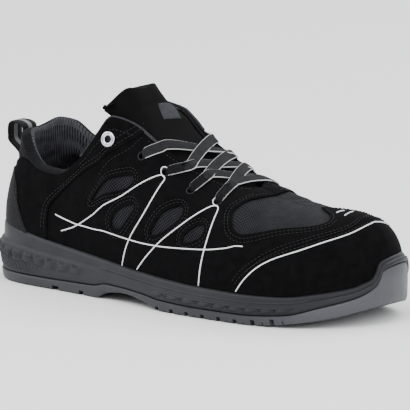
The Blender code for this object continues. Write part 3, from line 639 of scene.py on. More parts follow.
def tube(path: Array, radius: float, closed: bool = False, resolution: int = 2) -> bpy.types.Object:
    """A round cord along a path, as a mesh with closed ends."""
    bpy.ops.object.select_all(action="DESELECT")
    bpy.ops.curve.primitive_bezier_curve_add(location=(0, 0, 0))
    obj = bpy.context.object
    curve = obj.data
    curve.splines.clear()
    line = curve.splines.new("POLY")
    line.points.add(len(path) - 1)
    line.points.foreach_set("co", np.concatenate([path, np.ones((len(path), 1))], 1).ravel())
    line.use_cyclic_u = closed
    curve.dimensions = "3D"
    curve.bevel_depth = radius
    curve.bevel_resolution = resolution
    curve.use_fill_caps = True
    only(obj)
    bpy.ops.object.convert(target="MESH")
    obj = bpy.context.object
    mend(obj)
    return obj


def join(pieces: Sequence[bpy.types.Object]) -> bpy.types.Object:
    """Joins meshes into the first."""
    bpy.ops.object.select_all(action="DESELECT")
    for piece in pieces:
        piece.select_set(True)
    bpy.context.view_layer.objects.active = pieces[0]
    if len(pieces) > 1:
        bpy.ops.object.join()
    return pieces[0]


def sweep(path: Array, normals: Array, across: Array, width: Array, thick: Array) -> bpy.types.Object:
    """A flat band with round edges along a path. Its own map runs across in x and along in y.

    Args:
        path: Points along the band's middle.
        normals: The band's face direction at each point.
        across: The direction of its width at each point.
        width: Its width at each point.
        thick: Its thickness at each point.

    Returns:
        The object. Its map's x is a share of the width and its y is metres along.
    """
    sides = 24
    angle = np.linspace(0, 2 * np.pi, sides + 1)
    shape_x = np.sign(np.cos(angle)) * np.abs(np.cos(angle)) ** 0.55
    shape_z = np.sign(np.sin(angle)) * np.abs(np.sin(angle)) ** 0.8
    half, deep = (width / 2)[:, None, None], (thick / 2)[:, None, None]
    net = path[:, None] + across[:, None] * half * shape_x[None, :, None]
    net = net + normals[:, None] * deep * shape_z[None, :, None]
    uv = np.stack(np.broadcast_arrays((shape_x[None] + 1) / 2, run_of(path)[:, None]), -1)
    return net_piece(net, fill=True, uv=uv)


# Finishes


def linear(colour: str) -> tuple[float, float, float, float]:
    """An sRGB hex colour as linear values."""
    made = []
    for i in (1, 3, 5):
        value = int(colour[i : i + 2], 16) / 255
        made.append(value / 12.92 if value <= 0.04045 else ((value + 0.055) / 1.055) ** 2.4)
    return (*made, 1.0)


def node(
    tree: bpy.types.NodeTree, kind: str, inputs: dict[str | int, object] | None = None, **settings: object
) -> bpy.types.Node:
    """Adds a node.

    Args:
        tree: The material's nodes.
        kind: The node's type.
        inputs: Values or sockets for its inputs, by name or number.
        **settings: The node's own settings.

    Returns:
        The node.
    """
    made = tree.nodes.new(kind)
    for name, value in settings.items():
        setattr(made, name, value)
    for name, value in (inputs or {}).items():
        if isinstance(value, bpy.types.NodeSocket):
            tree.links.new(value, made.inputs[name])
        else:
            made.inputs[name].default_value = value
    return made


@dataclass(frozen=True)
class Finish:
    """A material: two close colours in soft patches, a grain and a gloss.

    Sizes are in metres. The grain's patches are grain across and the colour's are patch across.
    """

    name: str
    colour: str
    second: str
    roughness: float
    grain: float = 0.4 * MM
    relief: float = 0.1 * MM
    strength: float = 0.4
    patch: float = 9 * MM
    sheen: float = 0.0
    metallic: float = 0.0
    specular: float = 0.5

    def place(self, tree: bpy.types.NodeTree) -> bpy.types.NodeSocket:
        """The coordinates that the patterns read."""
        return node(tree, "ShaderNodeTexCoord").outputs["Object"]

    def shade(self, tree: bpy.types.NodeTree, colour: bpy.types.NodeSocket) -> bpy.types.NodeSocket:
        """Changes the colour further. The plain finish leaves it."""
        return colour

    def height(self, tree: bpy.types.NodeTree, grain: bpy.types.NodeSocket) -> bpy.types.NodeSocket:
        """The relief's height, from 0 to 1. The plain finish has its grain alone."""
        return grain

    def material(self) -> bpy.types.Material:
        """The finished material, made once."""
        if self.name in bpy.data.materials:
            return bpy.data.materials[self.name]
        made = bpy.data.materials.new(self.name)
        made.use_nodes = True
        tree = made.node_tree
        shader = tree.nodes["Principled BSDF"]
        place = self.place(tree)
        patches = node(
            tree,
            "ShaderNodeTexNoise",
            {"Vector": place, "Scale": 1 / self.patch, "Detail": 4.0, "Roughness": 0.6},
        )
        share = node(
            tree, "ShaderNodeMapRange", {0: patches.outputs[0], 1: 0.35, 2: 0.65, 3: 0.0, 4: 1.0}, clamp=True
        )
        colour = node(
            tree,
            "ShaderNodeMix",
            {"Factor": share.outputs[0], 6: linear(self.colour), 7: linear(self.second)},
            data_type="RGBA",
        )
        grain = node(
            tree,
            "ShaderNodeTexNoise",
            {"Vector": place, "Scale": 1 / self.grain, "Detail": 3.0, "Roughness": 0.6},
        )
        tree.links.new(self.shade(tree, colour.outputs[2]), shader.inputs["Base Color"])
        smoothest, dullest = max(self.roughness - 0.06, 0.0), self.roughness + 0.04
        gloss = node(
            tree,
            "ShaderNodeMapRange",
            {0: patches.outputs[0], 1: 0.3, 2: 0.7, 3: smoothest, 4: dullest},
            clamp=True,
        )
        tree.links.new(gloss.outputs[0], shader.inputs["Roughness"])
        height = self.height(tree, grain.outputs[0])
        bump = node(
            tree, "ShaderNodeBump", {"Strength": self.strength, "Distance": self.relief, "Height": height}
        )
        tree.links.new(bump.outputs[0], shader.inputs["Normal"])
        shader.inputs["Metallic"].default_value = self.metallic
        shader.inputs["Specular IOR Level"].default_value = self.specular
        shader.inputs["Sheen Weight"].default_value = self.sheen
        shader.inputs["Sheen Roughness"].default_value = 0.45
        shader.inputs["Sheen Tint"].default_value = linear("#8c8c92")
        return made


def waves(
    tree: bpy.types.NodeTree, place: bpy.types.NodeSocket, pitch: float, turn: float
) -> bpy.types.NodeSocket:
    """Soft parallel bands, from 0 to 1.

    Args:
        tree: The material's nodes.
        place: The coordinates.
        pitch: The distance between two bands, in metres.
        turn: The bands' direction, in degrees.

    Returns:
        The bands.
    """
    turned = node(tree, "ShaderNodeMapping", {"Vector": place, "Rotation": (0.0, 0.0, math.radians(turn))})
    # Blender's bands repeat 20 / 2 pi times in a unit at scale 1.
    scale = 2 * math.pi / (20 * pitch)
    bands = node(
        tree, "ShaderNodeTexWave", {"Vector": turned.outputs[0], "Scale": scale}, bands_direction="X"
    )
    return bands.outputs[1]


@dataclass(frozen=True)
class Knit(Finish):
    """A knitted or woven polyester: a lattice of small holes between threads, on the piece's own map.

    pitch is the distance between two holes, hole the darkening in them and thread how far the threads
    reach over them, from 0 to 0.7.
    """

    pitch: float = 1.5 * MM
    hole: float = 0.75
    thread: float = 0.2
    turn: float = 45.0
    second_turn: float = -45.0

    def place(self, tree: bpy.types.NodeTree) -> bpy.types.NodeSocket:
        """The piece's own map, in metres."""
        return node(tree, "ShaderNodeTexCoord").outputs["UV"]

    def lattice(self, tree: bpy.types.NodeTree) -> bpy.types.NodeSocket:
        """1 on the threads and 0 in the holes."""
        place = self.place(tree)
        one = waves(tree, place, self.pitch, self.turn)
        two = waves(tree, place, self.pitch, self.second_turn)
        dark = node(tree, "ShaderNodeMath", {0: one, 1: two}, operation="MULTIPLY").outputs[0]
        return node(
            tree,
            "ShaderNodeMapRange",
            {0: dark, 1: self.thread, 2: self.thread + 0.3, 3: 1.0, 4: 0.0},
            clamp=True,
        ).outputs[0]

    def shade(self, tree: bpy.types.NodeTree, colour: bpy.types.NodeSocket) -> bpy.types.NodeSocket:
        """Darkens the holes."""
        lit = {0: self.lattice(tree), 1: self.hole, 2: 1 - self.hole}
        share = node(tree, "ShaderNodeMath", lit, operation="MULTIPLY_ADD").outputs[0]
        tones = {"Factor": share, 6: linear("#060607"), 7: colour}
        return node(tree, "ShaderNodeMix", tones, data_type="RGBA").outputs[2]

    def height(self, tree: bpy.types.NodeTree, grain: bpy.types.NodeSocket) -> bpy.types.NodeSocket:
        """Sinks the holes and keeps a little of the grain."""
        parts = {0: grain, 1: 0.25, 2: self.lattice(tree)}
        return node(tree, "ShaderNodeMath", parts, operation="MULTIPLY_ADD").outputs[0]


@dataclass(frozen=True)
class Band(Finish):
    """A flat woven band: cross ribs along it, and stripes at shares of its width.

    The piece's own map has x as a share of the width and y in metres along.
    """

    stripe: str = "#d0d0d0"
    middle: float = 0.0
    edges: float = 0.0
    pitch: float = 1.0 * MM
    real_width: float = 7.5 * MM

    def place(self, tree: bpy.types.NodeTree) -> bpy.types.NodeSocket:
        """The piece's own map with its width brought to metres."""
        uv = node(tree, "ShaderNodeTexCoord").outputs["UV"]
        scale = (self.real_width, 1.0, 1.0)
        return node(tree, "ShaderNodeMapping", {"Vector": uv, "Scale": scale}).outputs[0]

    def shade(self, tree: bpy.types.NodeTree, colour: bpy.types.NodeSocket) -> bpy.types.NodeSocket:
        """Adds the stripes."""
        uv = node(tree, "ShaderNodeTexCoord").outputs["UV"]
        x = node(tree, "ShaderNodeSeparateXYZ", {0: uv}).outputs[0]
        side = node(tree, "ShaderNodeMath", {0: x, 1: 0.5}, operation="SUBTRACT").outputs[0]
        off = node(tree, "ShaderNodeMath", {0: side}, operation="ABSOLUTE").outputs[0]
        if self.edges:
            limits = {1: 0.49 - self.edges, 2: 0.5 - self.edges, 3: 0.0, 4: 1.0}
        else:
            limits = {1: self.middle / 2, 2: self.middle / 2 + 0.02, 3: 1.0, 4: 0.0}
        share = node(tree, "ShaderNodeMapRange", {0: off, **limits}).outputs[0]
        tones = {0: self.weave(tree), 1: 0.85, 2: 0.15}
        woven = node(tree, "ShaderNodeMath", tones, operation="MULTIPLY_ADD").outputs[0]
        striped = node(tree, "ShaderNodeMath", {0: share, 1: 0.92}, operation="MULTIPLY").outputs[0]
        lit = node(tree, "ShaderNodeMath", {0: woven, 1: striped}, operation="MAXIMUM").outputs[0]
        dyed = {"Factor": share, 6: colour, 7: linear(self.stripe)}
        mixed = node(tree, "ShaderNodeMix", dyed, data_type="RGBA").outputs[2]
        shaded = {"Factor": lit, 6: linear("#0b0b0c"), 7: mixed}
        return node(tree, "ShaderNodeMix", shaded, data_type="RGBA").outputs[2]

    def weave(self, tree: bpy.types.NodeTree) -> bpy.types.NodeSocket:
        """Threads that cross on a slant, from 0 between them to 1 on them."""
        place = self.place(tree)
        one = waves(tree, place, self.pitch, 50.0)
        two = waves(tree, place, self.pitch, 130.0)
        return node(tree, "ShaderNodeMath", {0: one, 1: two}, operation="MAXIMUM").outputs[0]

    def height(self, tree: bpy.types.NodeTree, grain: bpy.types.NodeSocket) -> bpy.types.NodeSocket:
        """The threads stand up."""
        parts = {0: grain, 1: 0.2, 2: self.weave(tree)}
        return node(tree, "ShaderNodeMath", parts, operation="MULTIPLY_ADD").outputs[0]


@dataclass(frozen=True)
class Moulded(Finish):
    """Moulded rubber or foam whose tone changes from start to end, along X, into the toe's."""

    toe: str = "#707177"
    start: float = 0.15
    end: float = 0.25

    def shade(self, tree: bpy.types.NodeTree, colour: bpy.types.NodeSocket) -> bpy.types.NodeSocket:
        """Mixes the toe's colour in along the shoe."""
        x = node(tree, "ShaderNodeSeparateXYZ", {0: self.place(tree)}).outputs[0]
        share = node(
            tree,
            "ShaderNodeMapRange",
            {0: x, 1: self.start, 2: self.end, 3: 0.0, 4: 1.0},
            interpolation_type="SMOOTHSTEP",
        ).outputs[0]
        return node(
            tree, "ShaderNodeMix", {"Factor": share, 6: colour, 7: linear(self.toe)}, data_type="RGBA"
        ).outputs[2]


# Brushed split leather: matt black, with a fine nap that catches a little light at grazing angles.
SUEDE = Finish(
    "napped suede", "#070708", "#0d0d0e", 0.95, 0.5 * MM, 0.16 * MM, 0.6, 6 * MM, 0.04, specular=0.04
)
# Polyester spacer mesh over the toes: charcoal threads round small holes, drawn at 1.6 mm so they show.
VAMP_MESH = Knit(
    "polyester spacer mesh", "#26262a", "#1e1e22", 0.8, 0.4 * MM, 0.35 * MM, 0.8, 12 * MM, 0.06,
    specular=0.12, pitch=1.6 * MM, hole=1.0, thread=0.06,
)
# The same mesh behind the side windows: black with thin grey threads.
SIDE_MESH = Knit(
    "black spacer mesh", "#2d2d32", "#232327", 0.8, 0.4 * MM, 0.35 * MM, 0.8, 12 * MM, 0.03,
    specular=0.08, pitch=1.6 * MM, hole=1.0, thread=0.0,
)
# Knitted polyester lining: black, close and dull.
LINING = Knit(
    "knitted lining", "#131315", "#0e0e10", 0.92, 0.4 * MM, 0.3 * MM, 0.7, 9 * MM, 0.06,
    specular=0.12, pitch=1.5 * MM, hole=0.7,
)
# The same lining inside the cuff, with its colour painted much lighter: painted light on the inner wall,
# which lies in shade. Its ribs are drawn 2.6 mm apart, so that they show.
RIBBED_LINING_PAINTED_LIGHTER = Knit(
    "ribbed lining painted lighter", "#4a4a50", "#36363a", 0.92, 0.4 * MM, 0.4 * MM, 0.8, 9 * MM, 0.1,
    specular=0.12, pitch=2.6 * MM, hole=0.8, turn=4.0, second_turn=-4.0,
)
# The tongue's brushed microfibre: black, soft and nearly smooth.
MICROFIBRE = Finish(
    "brushed microfibre", "#050506", "#0a0a0b", 0.88, 0.4 * MM, 0.1 * MM, 0.4, 14 * MM, 0.04, specular=0.08
)
# Polyester webbing of the pull loop with a light stripe woven down its middle.
WEBBING = Band(
    "polyester webbing", "#0b0b0d", "#111113", 0.75, 0.4 * MM, 0.3 * MM, 0.6, 6 * MM, 0.05,
    specular=0.15, stripe="#77777c", middle=0.24, pitch=1.4 * MM, real_width=14.5 * MM,
)
# Flat polyester braid: charcoal, with a light thread along both edges, its plaits drawn 1.3 mm apart.
BRAID = Band(
    "flat polyester braid", "#222225", "#1c1c1f", 0.78, 0.3 * MM, 0.3 * MM, 0.7, 6 * MM, 0.05,
    specular=0.15, stripe="#cacaca", middle=0.0, edges=0.045, pitch=1.3 * MM, real_width=7.5 * MM,
)
# Retro-reflective cord: nearly white and slightly glossy.
CORD = Finish("reflective cord", "#efefef", "#dcdcde", 0.42, 0.5 * MM, 0.05 * MM, 0.3, 4 * MM)
# Injected polyurethane foam: dark grey with a satin skin, a little darker round the toe.
FOAM = Moulded(
    "moulded polyurethane", "#1f2024", "#27282c", 0.54, 0.5 * MM, 0.08 * MM, 0.35, 12 * MM,
    specular=0.28, toe="#1c1c20", start=0.13, end=0.19,
)
# Nitrile rubber, moulded, a little glossy and lighter where it wraps the toe.
RUBBER = Moulded(
    "nitrile rubber", "#2b2c30", "#303135", 0.5, 0.6 * MM, 0.06 * MM, 0.3, 15 * MM,
    specular=0.35, toe="#434449", start=0.16, end=0.23,
)
# Nickel-plated brass, pressed and polished.
NICKEL = Finish("nickel-plated brass", "#e4e4ec", "#d4d4de", 0.22, 0.6 * MM, 0.02 * MM, 0.2, metallic=1.0)
# Bonded polyester thread: black with a slight gloss, so that each stitch shows as a small light dot.
THREAD = Finish("bonded thread", "#101012", "#161618", 0.5, 0.3 * MM, 0.05 * MM, 0.3, 3 * MM, specular=0.25)
# The raw edge of the suede round the collar, where its grey core shows.
RAW_EDGE = Finish(
    "raw suede edge", "#353538", "#29292c", 0.9, 0.5 * MM, 0.2 * MM, 0.6, 3 * MM, 0.05, specular=0.1
)
# Woven polyester label, bare: a dull blue grey with a close even weave.
LABEL = Knit(
    "woven label", "#313338", "#2a2c30", 0.75, 0.3 * MM, 0.15 * MM, 0.4, 5 * MM,
    specular=0.2, pitch=0.9 * MM, hole=0.25,
)
# Needled polyester of the sock: nearly black, with a coarse matt pile.
FELT = Finish(
    "needled polyester", "#101012", "#17171a", 0.95, 0.6 * MM, 0.3 * MM, 0.6, 5 * MM, 0.1, specular=0.1
)
# Polyester strap sewn down the heel: black, with fine ribs that run down it.
STRAP = Knit(
    "ribbed polyester strap", "#101012", "#18181b", 0.75, 0.3 * MM, 0.3 * MM, 0.6, 6 * MM, 0.08,
    specular=0.15, pitch=1.7 * MM, hole=0.5, turn=0.0, second_turn=0.0,
)


def dress(
    obj: bpy.types.Object,
    name: str,
    finishes: Sequence[Finish],
    nodes: Sequence[str] = (),
    angle: float | None = None,
) -> bpy.types.Object:
    """Names a piece, gives it its finishes and seats it on the shoe.

    Args:
        obj: The piece.
        name: Its name.
        finishes: Its materials, in the order of its faces' numbers.
        nodes: The packed nodes that it stands for.
        angle: Edges sharper than this stay sharp, in degrees, or none for smooth all over.

    Returns:
        The piece.
    """
    obj.name = name
    obj.data.name = name
    numbers = values_of(obj.data.polygons, "material_index")
    obj.data.materials.clear()
    for finish in finishes:
        obj.data.materials.append(finish.material())
    obj.data.polygons.foreach_set("material_index", numbers % len(finishes))
    only(obj)
    if angle is None:
        bpy.ops.object.shade_smooth()
    else:
        bpy.ops.object.shade_smooth_by_angle(angle=math.radians(angle))
    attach(obj, "root")
    if nodes:
        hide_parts(*nodes)
    LOG.info("%s: %d faces", name, len(obj.data.polygons))
    return obj


# The sole


@dataclass
class Sole:
    """Outsole, midsole and insole.

    blocks holds each row of raised blocks: its first and last station, how many, the level of their
    middle, their height as a share of the side's, and their lean in stations. lip holds the rings from
    the rim inwards: a share of the rim's rise, and how far out and down they lie, in mm. channels
    holds the tread's long grooves: y in mm and both ends as shares of the length, as sipe_width is.
    """

    columns: int = 600
    side_rows: int = 34
    block_stand: float = 1.5 * MM
    rib_pitch: float = 3.1 * MM
    rib_height: float = 1.0 * MM
    blocks: tuple = ((6, 66, 11, 0.42, 0.22, 0.0), (92, 140, 9, 0.30, 0.24, 1.5))
    lip: tuple = ((1.0, 1.6, 0.55), (1.0, 0.4, 0.7), (0.66, 0.3, 0.0), (0.0, 0.3, 0.0))
    sipe_width: float = 0.0028
    channels: tuple = ((-17, 0.03, 0.25), (17, 0.03, 0.25), (-20, 0.53, 0.86), (19, 0.53, 0.90))

    def __post_init__(self) -> None:
        """Works out the stations and the rim's line, which all three pieces share."""
        self.turns = np.linspace(-180.0, 180.0, self.columns + 1)
        rim = Last.height(self.turns, "rim")
        at_rim = Last.face(self.turns, Last.rise_at(self.turns, rim))[:, :2]
        self.normal = Last.outline(self.turns)[1]
        self.base = at_rim
        self.run = np.interp(np.abs(self.turns), Flat.TURNS, Flat.HALF)

    def build(self) -> None:
        """Makes the three pieces."""
        self.midsole()
        self.outsole()
        self.insole()

    def ring(self, z: Array, out: Array | float) -> Array:
        """A ring round the shoe at heights, grown from the midsole's rim by out."""
        grown = self.base + self.normal * (GAP + LIP + np.asarray(out))[..., None]
        return np.concatenate([grown, z[:, None]], 1)

    def closed(self, rings: list[Array], inset: Sequence[float] = (0.5, 0.34, 0.17, 0.06)) -> Array:
        """The net of a closed body: rings, with both ends laid across to the middle."""
        first = [rings[0] * (1 - k) + rings[0][::-1] * k for k in inset]
        last = [rings[-1] * (1 - k) + rings[-1][::-1] * k for k in inset[::-1]]
        return np.stack(first + rings + last)

    def relief(self, level: float) -> Array:
        """How far the midsole's side stands out at a level: its blocks and fine ribs."""
        turn = np.abs(self.turns)
        made = np.zeros_like(turn)
        for first, last, count, middle, tall, lean in self.blocks:
            pitch = (last - first) / count
            place = (turn - first - lean * (level - middle) / (tall / 2)) / pitch
            share = np.abs(place - np.floor(place) - 0.5)
            inside = (turn > first) & (turn < last)
            block = 1 - smooth_step(share, 0.27, 0.36)
            block = block * (1 - smooth_step(abs(level - middle), tall * 0.42, tall * 0.55))
            made = np.maximum(made, np.where(inside, block, 0.0) * self.block_stand)
        slant = self.run + level * 9 * MM
        rib = 0.5 + 0.5 * np.cos(2 * np.pi * slant / self.rib_pitch)
        fade = (1 - smooth_step(turn, 36.0, 60.0)) * smooth_step(level, 0.03, 0.10)
        fade = fade * (1 - smooth_step(level, 0.52, 0.60))
        return made + (rib - 0.5) * fade * self.rib_height

    def midsole(self) -> None:
        """The foam with its flared side, the band under its rim, the blocks and the lip."""
        low = Last.height(self.turns, "border") + GAP
        high = Last.height(self.turns, "rim") - LIP_DROP
        tuck = float(SIDE.at(0.0, "flare")) + OUTSOLE_STEP - TRAY_WALL - GAP
        rings = [
            self.ring(Last.height(self.turns, "tray") + GAP, tuck),
            self.ring(low, tuck),
        ]
        for level in np.linspace(0, 1, self.side_rows):
            soft = smooth_step(level, 0.0, 0.03)
            flare = float(SIDE.at(level, "flare")) - 0.5 * MM * (1 - soft)
            rings.append(self.ring(low + (high - low) * level, flare + self.relief(level)))
        rim = Last.rise_at(self.turns, Last.height(self.turns, "rim"))
        for share, out, drop in self.lip:
            point = Last.face(self.turns, rim * share)
            point[:, :2] += self.normal * out * MM
            point[:, 2] -= drop * MM
            if share == 0.0:
                point[:, 2] = Last.height(self.turns, "bed")
            rings.append(point)
        obj = net_piece(self.closed(rings))
        dress(obj, "midsole_foam_body", [FOAM], ["midsole"], 50)

    def outsole(self) -> None:
        """The rubber tray with its toe bumper, cut across into lugs."""
        flare = float(SIDE.at(0.0, "flare")) + OUTSOLE_STEP
        tread = Last.height(self.turns, "tread")
        tray = Last.height(self.turns, "tray")
        border = Last.height(self.turns, "border")
        rings = [
            self.ring(tread, flare - TREAD_TUCK),
            self.ring(tread + 0.2 * MM, flare - TREAD_TUCK * 0.6),
            self.ring(tread + LUG_DEPTH / 2, flare - OUTSOLE_STEP),
            self.ring(tread * 0.25 + tray * 0.75, flare - 0.1 * MM),
            self.ring(tray, flare),
            self.ring(tray * 0.4 + border * 0.6, flare + 0.25 * MM),
            self.ring(border - 0.7 * MM, flare + 0.15 * MM),
            self.ring(border - 0.15 * MM, flare - 0.2 * MM),
            self.ring(border, flare - 0.7 * MM),
            self.ring(border, flare - TRAY_WALL),
            self.ring(tray, flare - TRAY_WALL),
        ]
        obj = net_piece(self.closed(rings))
        cutters = [self.groove(*row[1:]) for row in GROOVES.rows]
        # Fine sipes across the heel's lugs and the forefoot's, which slant like the grooves between them.
        for along in np.concatenate([np.arange(0.055, 0.20, 0.022), np.arange(0.583, 0.90, 0.045)]):
            cutters.append(self.groove(along, self.sipe_width, 0.0 if along < 0.3 else -8.0, 0.45))
        for y, start, end in self.channels:
            cutters.append(self.channel(y * MM, start, end))
        cutter = join(cutters)
        modify(obj, "BOOLEAN", object=cutter, operation="DIFFERENCE", solver="EXACT", use_self=True)
        bpy.data.objects.remove(cutter, do_unlink=True)
        dress(obj, "outsole_rubber_body", [RUBBER], ["outsole"], 35)

    def groove(self, along: float, width: float, tilt: float, deep: float = 1.0) -> bpy.types.Object:
        """A cutter across the tread, as shares of the length, with its depth as a share of a lug's."""
        turn = math.degrees(math.acos(1 - 2 * along))
        place = (along * LAST_LENGTH - HEEL_SEAT, 0.0, float(Last.height(turn, "tread")))
        size = (width * LAST_LENGTH, 2 * BALL_WIDTH, 2 * LUG_DEPTH * deep)
        return self.box(place, size, tilt)

    def channel(self, y: float, start: float, end: float) -> bpy.types.Object:
        """A cutter along the tread."""
        x = (start + end) / 2 * LAST_LENGTH - HEEL_SEAT
        return self.box((x, y, 0.0), ((end - start) * LAST_LENGTH, 2.4 * MM, 2 * LUG_DEPTH * 0.6), 0.0)

    def box(self, place: Sequence[float], size: Sequence[float], tilt: float) -> bpy.types.Object:
        """A cutter block."""
        bpy.ops.object.select_all(action="DESELECT")
        bpy.ops.mesh.primitive_cube_add(
            size=1.0, location=place, rotation=(0, 0, math.radians(tilt)), scale=size
        )
        obj = bpy.context.object
        bpy.ops.object.transform_apply(location=True, rotation=True, scale=True)
        return obj

    def insole(self) -> None:
        """The sock on the foot bed, slightly dished."""
        rings = []
        inset = -(WALL + 0.6 * MM)
        for z, extra in ((0.0, 0.0), (0.6, 0.0), (0.85, 0.2), (1.0, 0.9)):
            flat = Last.outline(self.turns, inset - extra * MM)[0]
            rings.append(
                np.concatenate([flat, (Last.height(self.turns, "bed") + GAP + INSOLE_THICK * z)[:, None]], 1)
            )
        obj = net_piece(self.closed(rings))
        dress(obj, "insole_sock", [FELT], ["insole"])


# The upper's panels


@dataclass
class Panel:
    """A flat piece of suede, cut to an outline, with round edges, laid on the upper.

    outline and holes are closed lines in Flat's metres. low and high are its two faces' lifts.
    """

    outline: Array
    holes: list[Array]
    low: float
    high: float
    mirrored: bool = False
    pitch: float = 2.2 * MM

    def build(self, seams: Array | None = None) -> bpy.types.Object:
        """Cuts, folds and lays the piece.

        Args:
            seams: Points of the stitching that pulls it down, or none.

        Returns:
            The object.
        """
        thick = self.high - self.low
        bevel = min(thick / 2, 0.55 * MM)
        bpy.ops.object.select_all(action="DESELECT")
        bpy.ops.curve.primitive_bezier_curve_add(location=(0, 0, 0))
        obj = bpy.context.object
        curve = obj.data
        curve.splines.clear()
        curve.dimensions = "2D"
        curve.fill_mode = "BOTH"
        for line, turned in [(self.outline, False)] + [(hole, True) for hole in self.holes]:
            line = line[::-1] if (twice_area(line) < 0) != turned else line
            made = curve.splines.new("POLY")
            made.points.add(len(line) - 1)
            flat = np.concatenate([line, np.zeros((len(line), 1)), np.ones((len(line), 1))], 1)
            made.points.foreach_set("co", flat.ravel())
            made.use_cyclic_u = True
        curve.extrude = thick / 2 - bevel
        curve.bevel_depth = bevel
        curve.bevel_resolution = 2
        curve.offset = -bevel
        only(obj)
        bpy.ops.object.convert(target="MESH")
        obj = bpy.context.object
        mend(obj, 1e-6)
        self.slice(obj)
        self.lay(obj, thick, seams)
        mend(obj, 1e-7)
        return obj

    def slice(self, obj: bpy.types.Object) -> None:
        """Cuts the flat piece into narrow strips both ways, so that it can follow the last."""
        low, high = self.outline.min(0), self.outline.max(0)
        bpy.ops.object.mode_set(mode="EDIT")
        for axis, normal in ((0, (1, 0, 0)), (1, (0, 1, 0))):
            for place in np.arange(low[axis] + self.pitch / 2, high[axis], self.pitch):
                point = (place, 0, 0) if axis == 0 else (0, place, 0)
                bpy.ops.mesh.select_all(action="SELECT")
                bpy.ops.mesh.bisect(plane_co=point, plane_no=normal, threshold=1e-6)
        bpy.ops.object.mode_set(mode="OBJECT")

    def lay(self, obj: bpy.types.Object, thick: float, seams: Array | None) -> None:
        """Bends the flat piece onto the last and pulls it down along its seams."""
        mesh = obj.data
        flat = values_of(mesh.vertices, "co", 3).astype(float)
        turn, rise = Flat.back(flat[:, :2])
        turn = -turn if self.mirrored else turn
        rise = np.minimum(rise, 1.0)
        lift = self.low + thick / 2 + flat[:, 2]
        face = Last.face(turn, rise)
        out = Last.out(turn, rise)
        lift = lift + creases(face) * (flat[:, 2] > 0)
        if seams is not None and len(seams):
            near = nearest(face, seams)
            lift = lift - 0.4 * MM * np.exp(-((near / (1.3 * MM)) ** 2)) * (flat[:, 2] > 0)
        placed = face + out * lift[:, None]
        mesh.vertices.foreach_set("co", placed.astype(np.float32).ravel())
        layer = mesh.uv_layers[0] if mesh.uv_layers else mesh.uv_layers.new(name="flat")
        corners = values_of(mesh.loops, "vertex_index")
        layer.data.foreach_set("uv", flat[corners][:, :2].astype(np.float32).ravel())
        mesh.update()


def nearest(points: Array, others: Array) -> Array:
    """The distance from each point to the nearest of the others."""
    tree = KDTree(len(others))
    for i, point in enumerate(others):
        tree.insert(point, i)
    tree.balance()
    return np.array([tree.find(point)[2] for point in points])


# Soft folds of worn-in suede and mesh: two ends of each trough in the shoe's own stations and rises,
# its depth and its half width.
CREASES = Table(
    "fold start_turn start_rise end_turn end_rise depth wide",
    [
        (1, 118, 0.42, 124, 0.62, 0.5 * MM, 4.0 * MM),
        (2, 123, 0.34, 130, 0.46, 0.4 * MM, 3.5 * MM),
        (3, 113, 0.36, 117, 0.50, 0.4 * MM, 3.5 * MM),
        (4, 40, 0.62, 56, 0.58, 0.5 * MM, 6.0 * MM),
        (5, 24, 0.42, 34, 0.66, 0.4 * MM, 5.0 * MM),
        (6, 127, 0.72, 131, 0.97, 0.5 * MM, 3.0 * MM),
        (7, 132, 0.76, 137, 0.98, 0.4 * MM, 2.6 * MM),
        (8, 66, 0.62, 74, 0.70, 0.4 * MM, 3.5 * MM),
    ],
)


def creases(points: Array) -> Array:
    """How much lower the surface lies at points, from the soft folds."""
    made = np.zeros(len(points))
    for row in CREASES.rows:
        for side in (-1, 1):
            start, end = Last.face(side * row[1], row[2]), Last.face(side * row[3], row[4])
            along = end - start
            share = np.clip((points - start) @ along / (along @ along), 0.0, 1.0)
            gap = np.linalg.norm(points - (start + share[:, None] * along), axis=1) / row[6]
            made -= row[5] * (np.exp(-(gap**2)) - 0.45 * np.exp(-((gap - 1.7) ** 2)))
    return made


def rim_rise(turn: Array | float) -> Array:
    """The rise at which the overlays go down behind the midsole's lip."""
    turn = Last.wrap(turn)
    turn = np.where(np.abs(turn) > 122, turn, -np.abs(turn))
    return Last.rise_at(turn, Last.height(turn, "rim") - LIP_DROP - 0.4 * MM)


def along_rim(start: float, end: float) -> Array:
    """A flat line along the midsole's rim between two stations."""
    turns = np.linspace(start, end, max(int(abs(end - start) / 1.5), 2))
    return Flat.of(zip(turns, rim_rise(turns)))


